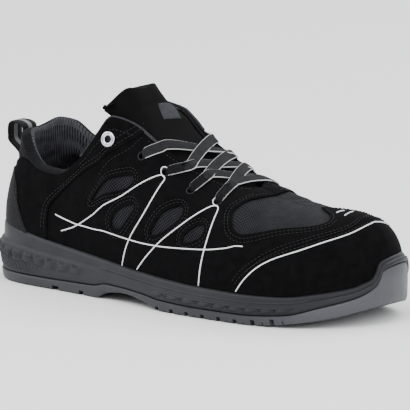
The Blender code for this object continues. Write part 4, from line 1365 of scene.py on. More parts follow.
@dataclass(frozen=True)
class Patterns:
    """The maker's paper patterns, as stations and rises read from the outer side."""

    seam: tuple = (
        (49, 0.24), (48.5, 0.39), (48.7, 0.54), (52, 0.70), (56.5, 0.785), (62, 0.825),
        (66.5, 0.79), (71, 0.765), (75, 0.80), (77, 0.85), (78.8, 0.90), (81, 0.96), (82.6, 1.0),
    )
    cap: tuple = (
        (117.5, 0.085), (118, 0.12), (120.5, 0.19), (124.5, 0.275), (130, 0.363), (137, 0.445),
        (143.5, 0.50), (153.5, 0.575), (162, 0.66), (170, 0.78), (180, 0.85),
    )
    under_cap: tuple = (
        (122.5, 0.09), (124.5, 0.16), (128.5, 0.235), (134, 0.32), (140.5, 0.40), (147.5, 0.455),
        (156, 0.52), (164, 0.60), (172, 0.72), (180, 0.78),
    )
    vamp: tuple = (
        (151, 1.0), (153.5, 0.90), (155, 0.82), (153.5, 0.72), (149, 0.65), (142, 0.612), (136, 0.585),
        (129, 0.525), (123, 0.462), (119.7, 0.445), (117.6, 0.495), (116.6, 0.60), (116.6, 0.675),
        (117.8, 0.735), (120.5, 0.80), (123.5, 0.89), (126.5, 1.0),
    )
    strap: tuple = ((40.5, 0.09), (39, 0.16), (32.5, 0.36), (26.5, 0.54), (21, 0.625))
    windows: tuple = (
        ((68, 0.475), (70.5, 0.535), (76, 0.605), (80.5, 0.655), (81.7, 0.62), (79, 0.535), (73.5, 0.475)),
        ((76, 0.255), (76.6, 0.32), (79, 0.39), (83.3, 0.445), (83.4, 0.40), (81, 0.31), (78.5, 0.245)),
        ((90.5, 0.285), (91.6, 0.37), (94.5, 0.50), (99, 0.605), (100.2, 0.555), (98.3, 0.44), (94, 0.33)),
        (
            (101.5, 0.32), (102.3, 0.385), (104.6, 0.455), (107.7, 0.505), (108.4, 0.45), (107, 0.385),
            (104, 0.335),
        ),
    )
    piping_a: tuple = (
        (52, 0.44), (57, 0.37), (62.5, 0.30), (68, 0.24), (73, 0.208), (82.5, 0.205), (92.5, 0.228),
        (101.5, 0.272), (109.5, 0.305), (116.5, 0.335), (122, 0.358),
    )
    piping_b: tuple = (
        (55.5, 0.25), (62.5, 0.30), (71.5, 0.36), (78, 0.455), (83, 0.575), (87, 0.68), (90, 0.755),
        (91.6, 0.778), (92.3, 0.755), (91.5, 0.69), (89.5, 0.52), (87, 0.36), (84, 0.25), (81, 0.13),
        (79.7, 0.05),
    )
    piping_d: tuple = (
        (85.5, 0.06), (89.5, 0.15), (95, 0.29), (99.5, 0.41), (103.5, 0.535), (107.5, 0.65), (109.8, 0.70),
        (111.2, 0.708), (111.8, 0.68), (111.4, 0.59), (110.5, 0.45), (109.5, 0.31), (108.2, 0.20),
        (107.2, 0.06),
    )
    piping_f: tuple = (
        (120.5, 0.065), (122, 0.115), (126, 0.205), (130, 0.27), (136, 0.325), (144, 0.385), (153, 0.45),
        (162, 0.52), (170, 0.60), (180, 0.665),
    )
    fine: tuple = ((70, 0.66), (72, 0.69), (75, 0.75), (77.8, 0.82), (80.5, 0.91), (82.5, 0.965))


PATTERNS = Patterns()


def hole_at(number: int, side: int = 1) -> tuple[float, float]:
    """The signed station and the rise of a lace hole."""
    return side * float(EYELETS.at(number, "turn")), float(EYELETS.at(number, "rise"))


def ring_of(number: int, radius: float) -> Array:
    """A flat circle round a lace hole."""
    centre = Flat.of([hole_at(number)])[0]
    angle = np.linspace(0, 2 * np.pi, 25)[:-1]
    return centre + np.stack([np.cos(angle), np.sin(angle) * 1.1], 1) * radius


@dataclass
class Stitching:
    """Rows of stitches, kept as flat lines with their lift, and made as one piece at the end."""

    long: float = 2.0 * MM
    wide: float = 0.62 * MM
    tall: float = 0.55 * MM

    def __post_init__(self) -> None:
        """Starts with no rows."""
        self.rows: list[tuple[Array, Array]] = []

    def sew(self, line: Array, lift: float, sides: Sequence[int] = (-1, 1), closed: bool = False) -> None:
        """Adds a row along a flat line, on one side of the shoe or both."""
        if closed:
            line = np.concatenate([line, line[:1]])
        turn, rise = Flat.back(line)
        for side in sides:
            normals = Last.out(side * turn, rise)
            self.rows.append((Last.face(side * turn, rise) + normals * lift, normals))

    def points(self) -> Array:
        """Every row's points, pulled back to the textile's face."""
        return np.concatenate([even(path - normals * QUARTER_TOP, 0.8 * MM) for path, normals in self.rows])

    def build(self) -> None:
        """Models one stitch and copies it along every row."""
        bpy.ops.object.select_all(action="DESELECT")
        bpy.ops.mesh.primitive_uv_sphere_add(
            segments=6, ring_count=4, radius=0.5, rotation=(0, math.pi / 2, 0)
        )
        one = bpy.context.object
        bpy.ops.object.transform_apply(location=True, rotation=True, scale=True)
        shape = np.array([v.co for v in one.data.vertices]) * (self.long, self.wide, self.tall)
        faces = [tuple(p.vertices) for p in one.data.polygons]
        bpy.data.objects.remove(one, do_unlink=True)
        verts, polygons = [], []
        for path, normals in self.rows:
            lengths = run_of(path)
            for where in np.arange(STITCH_PITCH / 2, lengths[-1], STITCH_PITCH):
                middle, ahead, up = (
                    np.array([np.interp(w, lengths, line[:, k]) for k in range(3)])
                    for w, line in ((where, path), (where + 0.4 * MM, path), (where, normals))
                )
                x = ahead - middle
                x = x - up * (x @ up)
                if np.linalg.norm(x) < 1e-7:
                    continue
                x /= np.linalg.norm(x)
                y = np.cross(up, x)
                start = len(verts) * len(shape)
                verts.append(middle + shape @ np.stack([x, y, up]))
                polygons += [tuple(start + i for i in face) for face in faces]
        mesh = bpy.data.meshes.new("stitches")
        mesh.from_pydata(np.concatenate(verts).tolist(), [], polygons)
        obj = bpy.data.objects.new("stitches", mesh)
        bpy.context.scene.collection.objects.link(obj)
        dress(obj, "seam_stitches", [THREAD])


@dataclass
class Upper:
    """Textile wall, padded cuff and the suede laid over them.

    vamp_start is the station from which the wall's outside is the vamp's mesh. seams holds the rows of
    stitches beside the patterns' lines: the line, how far to its left in mm, how many points are left
    out at its start and end, and whether the row lies on an overlay.
    """

    columns: int = 420
    rows: int = 46
    cuff_bulge: float = 1.9 * MM
    inner_rise: float = 2.2 * MM
    cuff_deep: float = 0.30
    rib_pitch: float = 2.6 * MM
    rib_height: float = 0.6 * MM
    vamp_start: float = 118.0
    drill: float = 12.0 * MM
    seams: tuple = (
        ("seam", 2.2, 0, 0, True),
        ("seam", 4.8, 0, 0, True),
        ("vamp", 2.6, 4, 6, False),
        ("vamp", 5.0, 14, 12, False),
        ("cap", -2.0, 3, 0, True),
        ("cap", -4.2, 3, 0, True),
        ("piping_f", 2.2, 8, 0, True),
        ("fine", 0.0, 0, 0, False),
    )

    def build(self, stitching: Stitching) -> None:
        """Makes the wall, the cuff and the panels.

        Args:
            stitching: Takes the panels' rows of stitches.
        """
        self.textile()
        self.cuff()
        self.sew(stitching)
        self.panels(stitching.points())

    def textile(self) -> None:
        """The mesh wall from the bed to the cuff, throat or ridge, with its lining."""
        turns = np.linspace(-180, 180, self.columns + 1)
        key = np.abs(turns)
        top = np.where(key < CORNER, np.minimum(CUFF.at(key, "rise") + 0.008, 1.0), 1.0)
        share = np.linspace(0, 1, self.rows)[:, None]
        rise = share * top[None]
        face = Last.face(turns[None], rise)
        folds = creases(face.reshape(-1, 3)).reshape(rise.shape) * (rise < 0.995)
        points = face + Last.out(np.broadcast_to(turns, rise.shape), rise) * folds[..., None]
        x = np.interp(turns, Flat.STATIONS, Flat.XS)
        uv = np.stack(np.broadcast_arrays(x[None], rise * Flat.TALL), -1)
        obj = net_piece(points, merge=False, uv=uv)
        mend(obj, 2e-6)
        # Solidify numbers the lining's faces only where the mesh has slots for them.
        finishes = (VAMP_MESH, LINING, SIDE_MESH)
        for finish in finishes:
            obj.data.materials.append(finish.material())
        modify(
            obj, "SOLIDIFY", thickness=WALL, offset=-1.0, use_quality_normals=True,
            material_offset=1, material_offset_rim=1,
        )
        cutters = []
        for side in (-1, 1):
            for number in (TOP_HOLE, *LACED_HOLES):
                turn, rise = hole_at(number, side)
                normal = Vector(Last.out(turn, rise))
                bpy.ops.object.select_all(action="DESELECT")
                bpy.ops.mesh.primitive_cylinder_add(
                    vertices=24,
                    radius=RING_HOLE_R if number == TOP_HOLE else HOLE_R,
                    depth=self.drill,
                    location=Last.face(turn, rise).tolist(),
                    rotation=normal.to_track_quat("Z", "Y").to_euler(),
                )
                cutters.append(bpy.context.object)
                bpy.ops.object.transform_apply(location=True, rotation=True, scale=True)
        cutter = join(cutters)
        modify(obj, "BOOLEAN", object=cutter, operation="DIFFERENCE", solver="EXACT")
        bpy.data.objects.remove(cutter, do_unlink=True)
        faces = obj.data.polygons
        numbers = values_of(faces, "material_index")
        behind = values_of(faces, "center", 3)[:, 0] < Last.top(self.vamp_start)[0]
        faces.foreach_set("material_index", np.where((numbers % 3 == 0) & behind, 2, numbers % 3))
        dress(obj, "textile_wall", finishes, ["upper"], 40)

    def cuff(self) -> None:
        """The padded cuff: from the suede's edge outside, over the rim and down inside."""
        ends, middle = np.linspace(60, 79.5, 60), np.linspace(-60, 60, 340)
        turns = np.concatenate([-ends[::-1], middle[1:], ends[1:]])
        key = np.abs(turns)
        low = CUFF.at(key, "rise")
        # The padding thins out towards the lacing.
        fade = 1 - smooth_step(key, 58.0, 72.0)
        flat_deep, flat_bulge = WALL * 0.75, 0.35 * MM
        deep = flat_deep + (COLLAR_PAD - flat_deep) * fade
        bulge = flat_bulge + (self.cuff_bulge - flat_bulge) * fade
        tall = np.linalg.norm(Last.face(turns, 1.0) - Last.face(turns, 0.9), axis=1) / 0.1
        roll = deep / 2 * 0.9
        edge = 1 - roll / tall
        start = np.minimum(low, edge - 0.004)
        end = start - np.where(key < 60, self.cuff_deep, self.cuff_deep - 0.12 * smooth_step(key, 60, 79))
        rows, maps = [], []
        x = np.interp(turns, Flat.STATIONS, Flat.XS)
        normals = Last.out(turns, edge)
        climb = unit(Last.face(turns, 1.0) - Last.face(turns, 0.97))
        centre = Last.on(turns, edge, -deep / 2)
        # The big toe's side stands a little higher, as padding that the foot hasn't pressed.
        plump = self.inner_rise * smooth_step(turns, 4.0, 22.0) * (1 - smooth_step(turns, 40.0, 62.0))
        for share in np.linspace(0, 1, 22):
            rise = start + (edge - start) * share
            puff = np.minimum(1.0, (share / 0.25)) ** 0.5
            rows.append(Last.on(turns, rise, 0.1 * MM + bulge * puff))
            maps.append(rise)
        for angle in np.linspace(0, np.pi, 15)[1:-1]:
            swell = deep / 2 + bulge * (1 + np.cos(angle)) / 2 + 0.1 * MM * np.cos(angle)
            rows.append(
                centre
                + normals * (swell * np.cos(angle))[:, None]
                + climb * ((roll + plump) * np.sin(angle))[:, None]
            )
            maps.append(edge + roll * (angle / np.pi) * 2 / tall)
        for share in np.linspace(0, 1, 30):
            rise = edge + (end - edge) * share
            thin = deep + (WALL + 0.4 * MM - deep) * smooth_step(share, 0.55, 1.0)
            rib = 0.5 + 0.5 * np.cos(2 * np.pi * (x + share * 14 * MM) / self.rib_pitch)
            rows.append(Last.on(turns, rise, -(thin + rib * self.rib_height * fade * min(share * 6, 1.0))))
            maps.append(2.1 - rise)
        rows.append(Last.on(turns, end, -(WALL + 0.05 * MM)))
        maps.append(2.15 - end)
        rows.append(Last.on(turns, start - 0.01, -(WALL + 0.05 * MM)))
        maps.append(2.2 - end)
        rows.append(rows[0])
        maps.append(2.3 - end)
        net = np.stack(rows)
        uv = np.stack([np.broadcast_to(x, net.shape[:2]), np.stack(maps) * Flat.TALL], -1)
        obj = net_piece(net, fill=True, uv=uv)
        # The faces inside the cuff take the copy of the lining whose colour is painted lighter, as painted
        # light.
        placed = values_of(obj.data.uv_layers[0].data, "uv", 2)
        inside = placed[values_of(obj.data.polygons, "loop_start"), 1] > Flat.TALL
        obj.data.polygons.foreach_set("material_index", inside.astype(np.int32))
        dress(obj, "padded_cuff", [LINING, RIBBED_LINING_PAINTED_LIGHTER], ["upper"])

    @staticmethod
    def lines() -> dict[str, Array | list[Array]]:
        """The patterns' lines, laid flat and smoothed. The two runs with a sharp turn keep it."""
        made = {"windows": [spline(Flat.of(window), 1.2 * MM, True) for window in PATTERNS.windows]}
        for name, points in vars(PATTERNS).items():
            if name == "windows":
                continue
            made[name] = spline(Flat.of(points), 1.5 * MM)
            if name.startswith("piping"):
                made[name] = soften(made[name], 40, 8 * MM if name in ("piping_b", "piping_d") else 0.5 * MM)
        return made

    def sew(self, stitching: Stitching) -> None:
        """Marks the rows of stitches."""
        lines = self.lines()
        on_quarter, on_overlay = QUARTER_TOP + 0.05 * MM, OVERLAY_TOP + 0.02 * MM
        for name, offset, first, last, overlay in self.seams:
            line = beside(lines[name], offset * MM)
            stitching.sew(line[first : len(line) - last], on_overlay if overlay else on_quarter)
        for window in lines["windows"]:
            side = 1 if twice_area(window) < 0 else -1
            for offset in (2.4 * MM, 4.4 * MM):
                stitching.sew(beside(window, side * offset, True), on_quarter, closed=True)
        edge = Flat.of([(turn, 1.0) for turn in np.linspace(84, 118, 30)])
        stitching.sew(edge - np.array([0.0, 3.2 * MM]), on_quarter)
        collar = np.linspace(61, 79, 16)
        stitching.sew(Flat.of([(turn, float(CUFF.at(turn, "rise")) - 0.055) for turn in collar]), on_overlay)
        stitching.sew(beside(lines["strap"], 2.2 * MM), STRAP_TOP + 0.05 * MM)

    def panels(self, seams: Array) -> None:
        """Cuts and lays the suede panels and the textile strap."""
        lines = self.lines()
        step = 1.5 * MM
        cuff_turns = np.linspace(62, 45, 14)
        hem = Flat.of([(turn, float(CUFF.at(turn, "rise")) - 0.012) for turn in cuff_turns])
        bottom = along_rim(44, 121.8)
        quarter = np.concatenate(
            [
                bottom,
                lines["under_cap"],
                Flat.of([(180, 0.80), (180, 0.9), (180, 1.0)])[1:],
                even(Flat.of([(180, 1.0), (151, 1.0)]), step)[1:-1],
                lines["vamp"],
                even(Flat.of([(126.5, 1.0), (64, 1.0)]), step)[1:],
                hem,
                even(np.concatenate([hem[-1:], Flat.of([(44, 0.7)]), bottom[:1]]), step)[1:-1],
            ]
        )
        ringed = ring_of(TOP_HOLE, RING_HOLE_R)
        holes = lines["windows"] + [ring_of(number, SUEDE_HOLE_R) for number in LACED_HOLES] + [ringed]
        for side in Side:
            panel = Panel(quarter, holes, 0.15 * MM, QUARTER_TOP, side is Side.OUTER)
            name = side.name.lower()
            dress(panel.build(seams), f"suede_quarter_{name}", [SUEDE], [f"quarter_{name}"], 60)

        rim = along_rim(0, 49.3)
        seam = lines["seam"]
        top = even(Flat.of([(82.6, 1.0), (62, 1.0)]), step)[1:-1]
        cuff = Flat.of([(turn, float(CUFF.at(turn, "rise"))) for turn in np.linspace(61, 0, 44)])
        half = np.concatenate([rim, seam, top, cuff])
        mirror = half[::-1] * np.array([-1.0, 1.0])
        counter = np.concatenate([half, mirror[1:-1]])
        rings = [ringed, ringed * np.array([-1.0, 1.0])]
        piece = Panel(counter, rings, OVERLAY_LOW, OVERLAY_TOP).build(seams)
        dress(piece, "suede_counter", [SUEDE], ["heel_counter"], 60)

        middle = np.array([2 * Flat.HALF[-1], 0.0])
        cap = lines["cap"]
        other = middle + cap[::-1][1:] * np.array([-1.0, 1.0])
        low = along_rim(117.6, 242.4)
        toe = np.concatenate([low, other[::-1], cap[::-1]])
        piece = Panel(toe, [], OVERLAY_LOW, OVERLAY_TOP).build(seams)
        dress(piece, "suede_toe_cap", [SUEDE], ["toe_cap"], 60)

        strap = lines["strap"]
        base = along_rim(0, 40.5)
        half = np.concatenate([base, strap[1:], Flat.of([(10, 0.605), (0, 0.60)])])
        outline = np.concatenate([half, (half[::-1] * np.array([-1.0, 1.0]))[1:-1]])
        piece = Panel(outline, [], STRAP_LOW, STRAP_TOP).build(None)
        dress(piece, "heel_strap", [STRAP], ["back_strap"], 60)


@dataclass
class Trim:
    """Piping, cord loops, toe marks, metal eyelets and the bound lace holes.

    The metal ring's sizes are its bore, the middle and half the width of its rolled flange, the flange's
    height, the barrel's wall and how far the barrel reaches through. loop_r is the cord loops' radius.
    edge_lift and edge_r place the collar's raw edge, and rim_r and rim_wire are the bound holes' radii.
    marks holds both ends of the toe's marks, as stations and rises.
    """

    ring_bore: float = 2.35 * MM
    ring_middle: float = 3.75 * MM
    ring_half: float = 1.4 * MM
    ring_tall: float = 0.95 * MM
    barrel: float = 0.5 * MM
    barrel_low: float = -2.1 * MM
    loop_r: float = 3.6 * MM
    edge_lift: float = 1.3 * MM
    edge_r: float = 0.95 * MM
    rim_r: float = 2.75 * MM
    rim_wire: float = 0.45 * MM
    marks: tuple = (((-158.5, 0.875), (165.0, 0.985)), ((-162.5, 0.825), (166.0, 0.91)))

    def build(self) -> None:
        """Makes the small parts of both sides."""
        lines = Upper.lines()
        cords = []
        top = {"piping_f": OVERLAY_TOP}
        for name in ("piping_a", "piping_b", "piping_d", "piping_f"):
            for side in (-1, 1):
                turn, rise = Flat.back(lines[name])
                lift = top.get(name, QUARTER_TOP) + PIPING_R * 0.55
                cords.append(tube(Last.on(side * turn, rise, np.full(len(turn), lift)), PIPING_R))
        for number in CORD_RINGS:
            for side in (-1, 1):
                cords.append(self.loop(side, number))
        cords += [self.mark(ends) for ends in self.marks]
        dress(join(cords), "reflective_piping", [CORD])
        for side in Side:
            self.eyelet(side)
        edges = []
        for side in (-1, 1):
            turn = side * np.linspace(61, 89, 40)
            edges.append(tube(Last.on(turn, 0.999, np.full(len(turn), self.edge_lift)), self.edge_r))
        dress(join(edges), "collar_raw_edge", [RAW_EDGE])
        rims = [self.binding(side, number) for side in (-1, 1) for number in LACED_HOLES]
        dress(join(rims), "lace_hole_rims", [THREAD])

    def loop(self, side: int, number: int) -> bpy.types.Object:
        """The cord's small ring behind a lace hole."""
        centre = Flat.of([hole_at(number)])[0]
        angle = np.radians(np.linspace(75, 285, 22))
        flat = centre + np.stack([np.cos(angle), np.sin(angle)], 1) * self.loop_r
        turn, rise = Flat.back(flat)
        lift = np.full(len(turn), QUARTER_TOP + PIPING_R * 0.7)
        return tube(Last.on(side * turn, np.minimum(rise, 1.0), lift), PIPING_R * 0.8)

    def mark(self, ends: Sequence[tuple[float, float]]) -> bpy.types.Object:
        """One short light mark sewn across the toe's ridge, between two stations and rises."""
        a, b = (Last.on(turn, rise, QUARTER_TOP + 0.3 * MM) for turn, rise in ends)
        middle = (a + b) / 2 + np.array([0.0, 0.0, 0.35 * MM])
        return tube(spline(np.array([a, middle, b]), 0.8 * MM), PIPING_R)

    def place(self, side: int, number: int) -> Matrix:
        """An eyelet's frame on the upper, with Z pointing out."""
        turn, rise = hole_at(number, side)
        matrix = Vector(Last.out(turn, rise)).to_track_quat("Z", "Y").to_matrix().to_4x4()
        matrix.translation = Vector(Last.face(turn, rise))
        return matrix

    def eyelet(self, side: Side) -> None:
        """The pressed metal ring: a rolled flange outside and a barrel through the wall."""
        base = OVERLAY_TOP + 0.05 * MM
        inner, outer = self.ring_bore, self.ring_bore + self.barrel
        profile = [(inner, self.barrel_low), (inner, base + self.barrel)]
        for a in np.linspace(np.pi, 0, 13):
            x = self.ring_middle + self.ring_half * math.cos(a)
            profile.append((x, base + 0.25 * MM + self.ring_tall * math.sin(a)))
        profile += [(self.ring_middle + self.ring_half, base), (outer, base)]
        profile += [(outer, self.barrel_low), (inner, self.barrel_low)]
        angle = np.linspace(0, 2 * np.pi, 49)
        radius, z = np.array(profile).T[..., None]
        net = np.stack(np.broadcast_arrays(radius * np.cos(angle), radius * np.sin(angle), z), -1)
        obj = net_piece(net)
        obj.data.transform(self.place(side.value, TOP_HOLE))
        name = side.name.lower()
        dress(obj, f"metal_eyelet_{name}", [NICKEL], [f"eyelet_{name}"], 50)

    def binding(self, side: int, number: int) -> bpy.types.Object:
        """A stitched rim round a lace hole."""
        bpy.ops.object.select_all(action="DESELECT")
        bpy.ops.mesh.primitive_torus_add(
            major_radius=self.rim_r, minor_radius=self.rim_wire, major_segments=28, minor_segments=8
        )
        obj = bpy.context.object
        matrix = self.place(side, number)
        matrix.translation += matrix.to_3x3() @ Vector((0, 0, QUARTER_TOP + 0.1 * MM))
        obj.data.transform(matrix)
        return obj


@dataclass
class Tongue:
    """The padded tongue with its bound edge and bare label.

    Its sizes are the part's own, but for those from hang on. hang is how far the free end's sides hang
    down inside the lacing panels. The outer corner stands higher, with a flatter shoulder. The inner
    corner drops and reaches inwards. corners holds how far both are rounded down, the outer one first.
    """

    rows: int = 150
    columns: int = 71
    half_width: float = 35.0 * MM
    edge: float = 2.2 * MM
    thick: float = 6.0 * MM
    clearance: float = 1.3 * MM
    reach: float = 15.0 * MM
    lean: float = 13.0 * MM
    wrap: float = 14.0 * MM
    spread: float = 5.0 * MM
    shoulder: float = 0.55
    square: float = 5.0
    wing: float = 0.16
    fullness: float = 0.14
    turns: tuple = (125, 121, 117, 112, 107, 102, 97, 92, 88, 84)
    shares: tuple = (0.0, 0.25, 0.5, 0.75, 0.92, 1.0)
    across: tuple = (-1.0, -0.85, -0.7, -0.5, -0.25, 0.0, 0.25, 0.5, 0.7, 0.85, 1.0)
    hang: float = 8.5 * MM
    outer_shoulder: float = 0.76
    outer_stand: float = 5.5 * MM
    inner_drop: float = 3.0 * MM
    inner_reach: float = 4.0 * MM
    corners: tuple = (1.6 * MM, 2.5 * MM)
    label: float = 15.0 * MM
    label_centre: tuple = (0.066, 0.0085, 0.117)
    label_turn: float = 22.0

    def row(self, turn: float) -> list[Array]:
        """The tongue's face at a station."""
        inside = -(WALL + self.clearance)
        made = []
        for v in self.across:
            side = -1 if v < 0 else 1
            if turn > THROAT_END:
                made.append(Last.on(side * turn, 1 - self.wing * abs(v), inside))
            elif abs(v) > 0.5:
                made.append(Last.on(side * turn, 1 - self.wing * (abs(v) - 0.5) * 2, inside))
            else:
                made.append(Last.bridge(-turn, turn, v + 0.5, inside, self.fullness))
        return made

    def free(self, share: float) -> list[Array]:
        """The free end above the lacing."""
        inside = -(WALL + self.clearance)
        made = []
        for place in self.across:
            v = min(max(2 * place, -1.0), 1.0)
            wing = max(2 * abs(place) - 1.0, 0.0)
            start = Last.bridge(-CORNER, CORNER, (v + 1) / 2, inside, self.fullness)
            back = (self.lean + self.wrap * v * v) * share
            shoulder = self.shoulder * (self.outer_shoulder if v < 0 else 1.0)
            climb = self.reach * share * (1 - shoulder * abs(v) ** self.square)
            climb += self.outer_stand * share * math.exp(-(((v + 0.7) / 0.42) ** 2))
            inner = smooth_step(v, 0.35, 1.0)
            climb -= self.inner_drop * share * share * inner
            climb -= self.corners[int(v >= 0)] * share**6 * smooth_step(abs(v), 0.55, 1.0)
            out = v * self.spread * share * share + self.inner_reach * inner * share
            edge = start + np.array([-back, out, climb])
            corner = math.copysign(CORNER, v)
            under = Last.on(corner, 1 - self.wing * wing, inside) - Last.on(corner, 1.0, inside)
            drop = self.hang * (1 - 0.45 * share - 0.3 * share**6)
            hang = np.array([0.0, math.copysign(0.6 * MM, v), -drop]) * wing
            blend = smooth_step(share, 0.0, 0.5)
            made.append(edge + (under * (1 - blend) + hang * blend if wing else 0.0))
        return made

    def build(self) -> None:
        """Makes the padded body and the label."""
        rows = [self.row(turn) for turn in self.turns] + [self.free(share) for share in self.shares[1:]]
        net = resample(resample(np.array(rows), self.rows, 0), self.columns, 1)
        normal = unit(np.cross(np.gradient(net, axis=1), np.gradient(net, axis=0)))
        middle = self.columns // 2
        if normal[self.rows // 2, middle, 2] < 0:
            normal = -normal
        v = np.linspace(-1, 1, self.columns)[None]
        u = np.linspace(0, 1, self.rows)[:, None]
        pad = (1 - np.abs(v) ** 6) ** 0.5 * (1 - smooth_step(u, 0.90, 1.0) ** 3) ** 0.5
        pad = np.maximum(pad, 0.02)
        pinch = 0.35 * np.exp(-((np.abs(v) - 0.86) / 0.035) ** 2)
        puff = pad * (1 - pinch)
        top = net + normal * ((puff - 1) * 1.4 * MM)[..., None]
        bottom = net - normal * (self.edge + (self.thick - self.edge) * puff)[..., None]
        uv_top = np.stack(np.broadcast_arrays(v * self.half_width, run_of(net[:, middle])[:, None]), -1)
        loop = np.concatenate([top, bottom[:, ::-1], top[:, :1]], 1)
        uv = np.concatenate([uv_top, uv_top[:, ::-1] + np.array([0.1, 0.0]), uv_top[:, :1]], 1)
        obj = net_piece(loop, fill=True, uv=uv)
        dress(obj, "padded_tongue", [MICROFIBRE], ["tongue"])
        self.add_label(top, normal)

    @staticmethod
    def read(net: Array, u: Array, v: Array) -> Array:
        """A net's values at places between its rows u and columns v."""
        u, v = np.clip(u, 0, len(net) - 1.001), np.clip(v, 0, net.shape[1] - 1.001)
        i, j = u.astype(int), v.astype(int)
        p, q = (u - i)[..., None], (v - j)[..., None]
        low = net[i, j] * (1 - q) + net[i, j + 1] * q
        high = net[i + 1, j] * (1 - q) + net[i + 1, j + 1] * q
        return low * (1 - p) + high * p

    def add_label(self, top: Array, normal: Array) -> None:
        """The bare woven label on the tongue's front, on the side of the big toe."""
        gap = np.linalg.norm(top - np.array(self.label_centre), axis=2)
        i, j = np.unravel_index(np.argmin(gap), gap.shape)
        step_u = np.linalg.norm(top[i + 1, j] - top[i - 1, j]) / 2
        step_v = np.linalg.norm(top[i, j + 1] - top[i, j - 1]) / 2
        edge = np.linspace(-1, 1, 17)
        across, down = np.meshgrid(edge * self.label / 2, edge * self.label / 2)
        turned = math.radians(self.label_turn)
        u = i + (down * math.cos(turned) - across * math.sin(turned)) / step_u
        v = j + (across * math.cos(turned) + down * math.sin(turned)) / step_v
        patch, out = (self.read(net, u, v) for net in (top, normal))
        raised = (1 - np.abs(edge)[:, None] ** 12) * (1 - np.abs(edge)[None] ** 12)
        face = patch + out * (0.15 * MM + 0.55 * MM * raised)[..., None]
        under = patch - out * 0.4 * MM
        loop = np.concatenate([face, under[:, ::-1], face[:, :1]], 1)
        flat = np.stack(np.broadcast_arrays(edge[None] * self.label / 2, edge[:, None] * self.label / 2), -1)
        uv = np.concatenate([flat, flat[:, ::-1], flat[:, :1]], 1)
        dress(net_piece(loop, fill=True, uv=uv), "tongue_label", [LABEL], (), 50)


@dataclass
class Lacing:
    """One flat lace, as the photo shows it: a bar at the toe and strands that cross up from it.

    dive is how far it goes down into a hole, pinch how much narrower it gets there and hump how far it
    steps over another strand, as a share of its thickness.
    """

    width: float = 7.6 * MM
    thick: float = 1.5 * MM
    fullness: float = 0.08
    dive: float = 3.4 * MM
    pinch: float = 0.42
    hump: float = 0.62
    points: int = 120

    def build(self) -> None:
        """Makes the strands and joins them."""
        strands = [self.strand(5, 5, -1, 0.5)]
        for low in (5, 4, 3):
            for side in (1, -1):
                strands.append(self.strand(low, low - 1, side, 1.0 if side < 0 else -1.0))
        dress(join(strands), "flat_lace", [BRAID], ["laces"])

    def strand(self, start: int, end: int, side: int, over: float) -> bpy.types.Object:
        """A strand from one side's hole to the other side's.

        Args:
            start: The hole that it leaves.
            end: The hole that it enters on the other side.
            side: The side that it leaves, -1 for the outer one.
            over: 1 where it passes over the other strands, -1 where it passes under them.

        Returns:
            The strand.
        """
        lift = QUARTER_TOP + 0.25 * MM + self.thick / 2
        path, normals, widths = [], [], []

        def panel(number: int, face: int, shares: Sequence[float]) -> float:
            """Adds the points over a panel and gives the signed station of its edge."""
            edge = float(EYELETS.at(number, ("outer" if face < 0 else "inner") + "_edge"))
            hole, low = hole_at(number)
            for share in shares:
                turn = face * (hole * (1 - share) + edge * share)
                rise = low * (1 - share) + share
                sink = max(0.0, 1 - share / 0.22)
                path.append(Last.on(turn, rise, lift - sink**2 * self.dive))
                normals.append(Last.out(turn, rise))
                widths.append(1 - self.pinch * sink)
            return face * edge

        shares = (0.0, 0.06, 0.13, 0.25, 0.5, 0.75, 0.93)
        leaving = panel(start, side, shares)
        other = "outer" if side > 0 else "inner"
        arriving = -side * float(EYELETS.at(end, other + "_edge"))
        low, high = min(leaving, arriving), max(leaving, arriving)
        for share in np.linspace(0.04, 0.96, 13):
            across = share if side < 0 else 1 - share
            hump = np.exp(-(((share - 0.5) / 0.2) ** 2)) * self.thick * self.hump
            point = Last.bridge(low, high, across, lift, self.fullness)
            blend = Last.out(leaving, 1.0) * (1 - share) + Last.out(arriving, 1.0) * share
            path.append(point + unit(blend) * hump * over)
            normals.append(blend)
            widths.append(1.0)
        panel(end, -side, shares[::-1])
        path = resample(np.array(path), self.points, 0)
        normals = resample(np.array(normals), self.points, 0)
        widths = np.clip(resample(np.array(widths)[:, None], self.points, 0)[:, 0], 0.5, 1.0)
        ahead = np.gradient(path, axis=0)
        across = unit(np.cross(ahead, normals))
        up = unit(np.cross(across, ahead))
        return sweep(path, up, across, self.width * widths, np.full(self.points, self.thick))


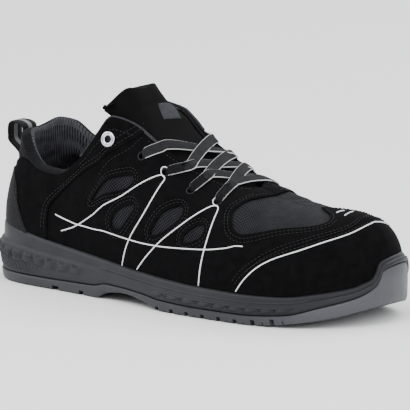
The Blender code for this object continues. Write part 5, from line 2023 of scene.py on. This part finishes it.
@dataclass
class PullLoop:
    """The webbing loop at the heel."""

    width: float = 14.5 * MM
    thick: float = 1.6 * MM
    stand: float = 14.0 * MM
    foot: float = 77.0 * MM
    sewn: float = 8.0 * MM
    rise: float = 2.0 * MM
    drop: float = 3.0 * MM
    points: int = 90

    def build(self) -> None:
        """Makes the loop."""
        on_strap, on_cuff = STRAP_TOP + 0.15 * MM + self.thick / 2, 2.2 * MM + self.thick / 2
        foot = [Last.on(0.0, Last.rise_at(0.0, z), on_strap) for z in (self.foot - self.sewn, self.foot)]
        rim = Last.top(0.0)
        heights = (rim[2] - self.drop, rim[2] - self.drop - self.sewn / 2)
        front = [Last.on(0.0, Last.rise_at(0.0, z), on_cuff) for z in heights]
        top = rim[2] + self.rise - self.thick / 2
        back = rim[0] - self.stand
        stops = [
            (back - 0.2 * MM, foot[1][2] + (rim[2] - foot[1][2]) * 0.4),
            (back - 1.2 * MM, foot[1][2] + (rim[2] - foot[1][2]) * 0.62),
            (back - 1.2 * MM, rim[2] - 1.0 * MM),
            (back + 0.2 * MM, top + 0.6 * MM),
            (back + self.stand * 0.2, top + 1.0 * MM),
            (front[0][0] - self.stand * 0.3, top + 0.8 * MM),
            (front[0][0] - self.stand * 0.04, top - 0.8 * MM),
        ]
        path = np.array(foot + [np.array([x, 0.0, z]) for x, z in stops] + front)
        path = resample(path, self.points, 0)
        path[:, 1] = 0.0
        across = np.tile([0.0, 1.0, 0.0], (self.points, 1))
        normals = unit(np.cross(np.gradient(path, axis=0), across))
        wide, thick = np.full(self.points, self.width), np.full(self.points, self.thick)
        obj = sweep(path, normals, across, wide, thick)
        dress(obj, "heel_pull_loop", [WEBBING], ["pull_loop"])


@dataclass
class Studio:
    """A pale floor, soft light and the camera at the photograph's angle."""

    azimuth: float = 38.2546
    elevation: float = 10.9336
    distance: float = 9.4345
    focal_px: float = 14651.8
    image_px: float = 410.0
    target: tuple = (0.10204, 0.0, 0.06051)
    roll: float = 0.2324

    def build(self) -> None:
        """Makes the floor, the lights and the camera."""
        self.floor()
        self.light("key", (0.1, -1.5, 1.9), 1.6, 36.0)
        self.light("fill", (-1.5, -0.9, 1.2), 1.4, 15.0)
        self.light("front", (1.7, -0.4, 1.0), 1.2, 17.0)
        self.light("back", (0.2, 1.6, 1.7), 1.5, 26.0)
        world = bpy.data.worlds.new("studio")
        bpy.context.scene.world = world
        world.use_nodes = True
        background = world.node_tree.nodes["Background"]
        background.inputs["Color"].default_value = linear("#f6f7f9")
        background.inputs["Strength"].default_value = 1.05
        self.camera()

    def floor(self) -> None:
        """A wide pale floor."""
        bpy.ops.object.select_all(action="DESELECT")
        bpy.ops.mesh.primitive_plane_add(size=8.0, location=(0, 0, 0))
        obj = bpy.context.object
        obj.name = "floor"
        made = bpy.data.materials.new("matt paper")
        made.use_nodes = True
        shader = made.node_tree.nodes["Principled BSDF"]
        shader.inputs["Base Color"].default_value = linear("#fdfdfd")
        shader.inputs["Roughness"].default_value = 0.9
        obj.data.materials.append(made)

    def light(self, name: str, place: Sequence[float], size: float, power: float) -> None:
        """A square soft light that looks at the shoe."""
        bpy.ops.object.select_all(action="DESELECT")
        bpy.ops.object.light_add(type="AREA", location=place)
        lamp = bpy.context.object
        lamp.name = name
        lamp.data.size = size
        lamp.data.energy = power
        aim = Vector(self.target) - Vector(place)
        lamp.rotation_euler = aim.to_track_quat("-Z", "Y").to_euler()

    def camera(self) -> None:
        """The camera, from the fit to the photograph's outline."""
        az, el = math.radians(self.azimuth), math.radians(self.elevation)
        back = Vector((math.sin(az) * math.cos(el), -math.cos(az) * math.cos(el), math.sin(el)))
        bpy.ops.object.select_all(action="DESELECT")
        bpy.ops.object.camera_add(location=Vector(self.target) + back * self.distance)
        obj = bpy.context.object
        obj.name = "camera"
        turned = back.to_track_quat("Z", "Y").to_matrix() @ Matrix.Rotation(math.radians(self.roll), 3, "Z")
        obj.rotation_euler = turned.to_euler()
        obj.data.sensor_width = 36.0
        obj.data.lens = self.focal_px / self.image_px * obj.data.sensor_width
        obj.data.clip_end = 100.0
        bpy.context.scene.camera = obj


def main() -> None:
    """Builds the shoe's looks and its studio."""
    logging.basicConfig(level=logging.INFO, format="%(name)s: %(message)s")
    Studio().build()
    Sole().build()
    stitching = Stitching()
    Upper().build(stitching)
    stitching.build()
    Trim().build()
    Tongue().build()
    Lacing().build()
    PullLoop().build()


if __name__ == "__main__":
    main()
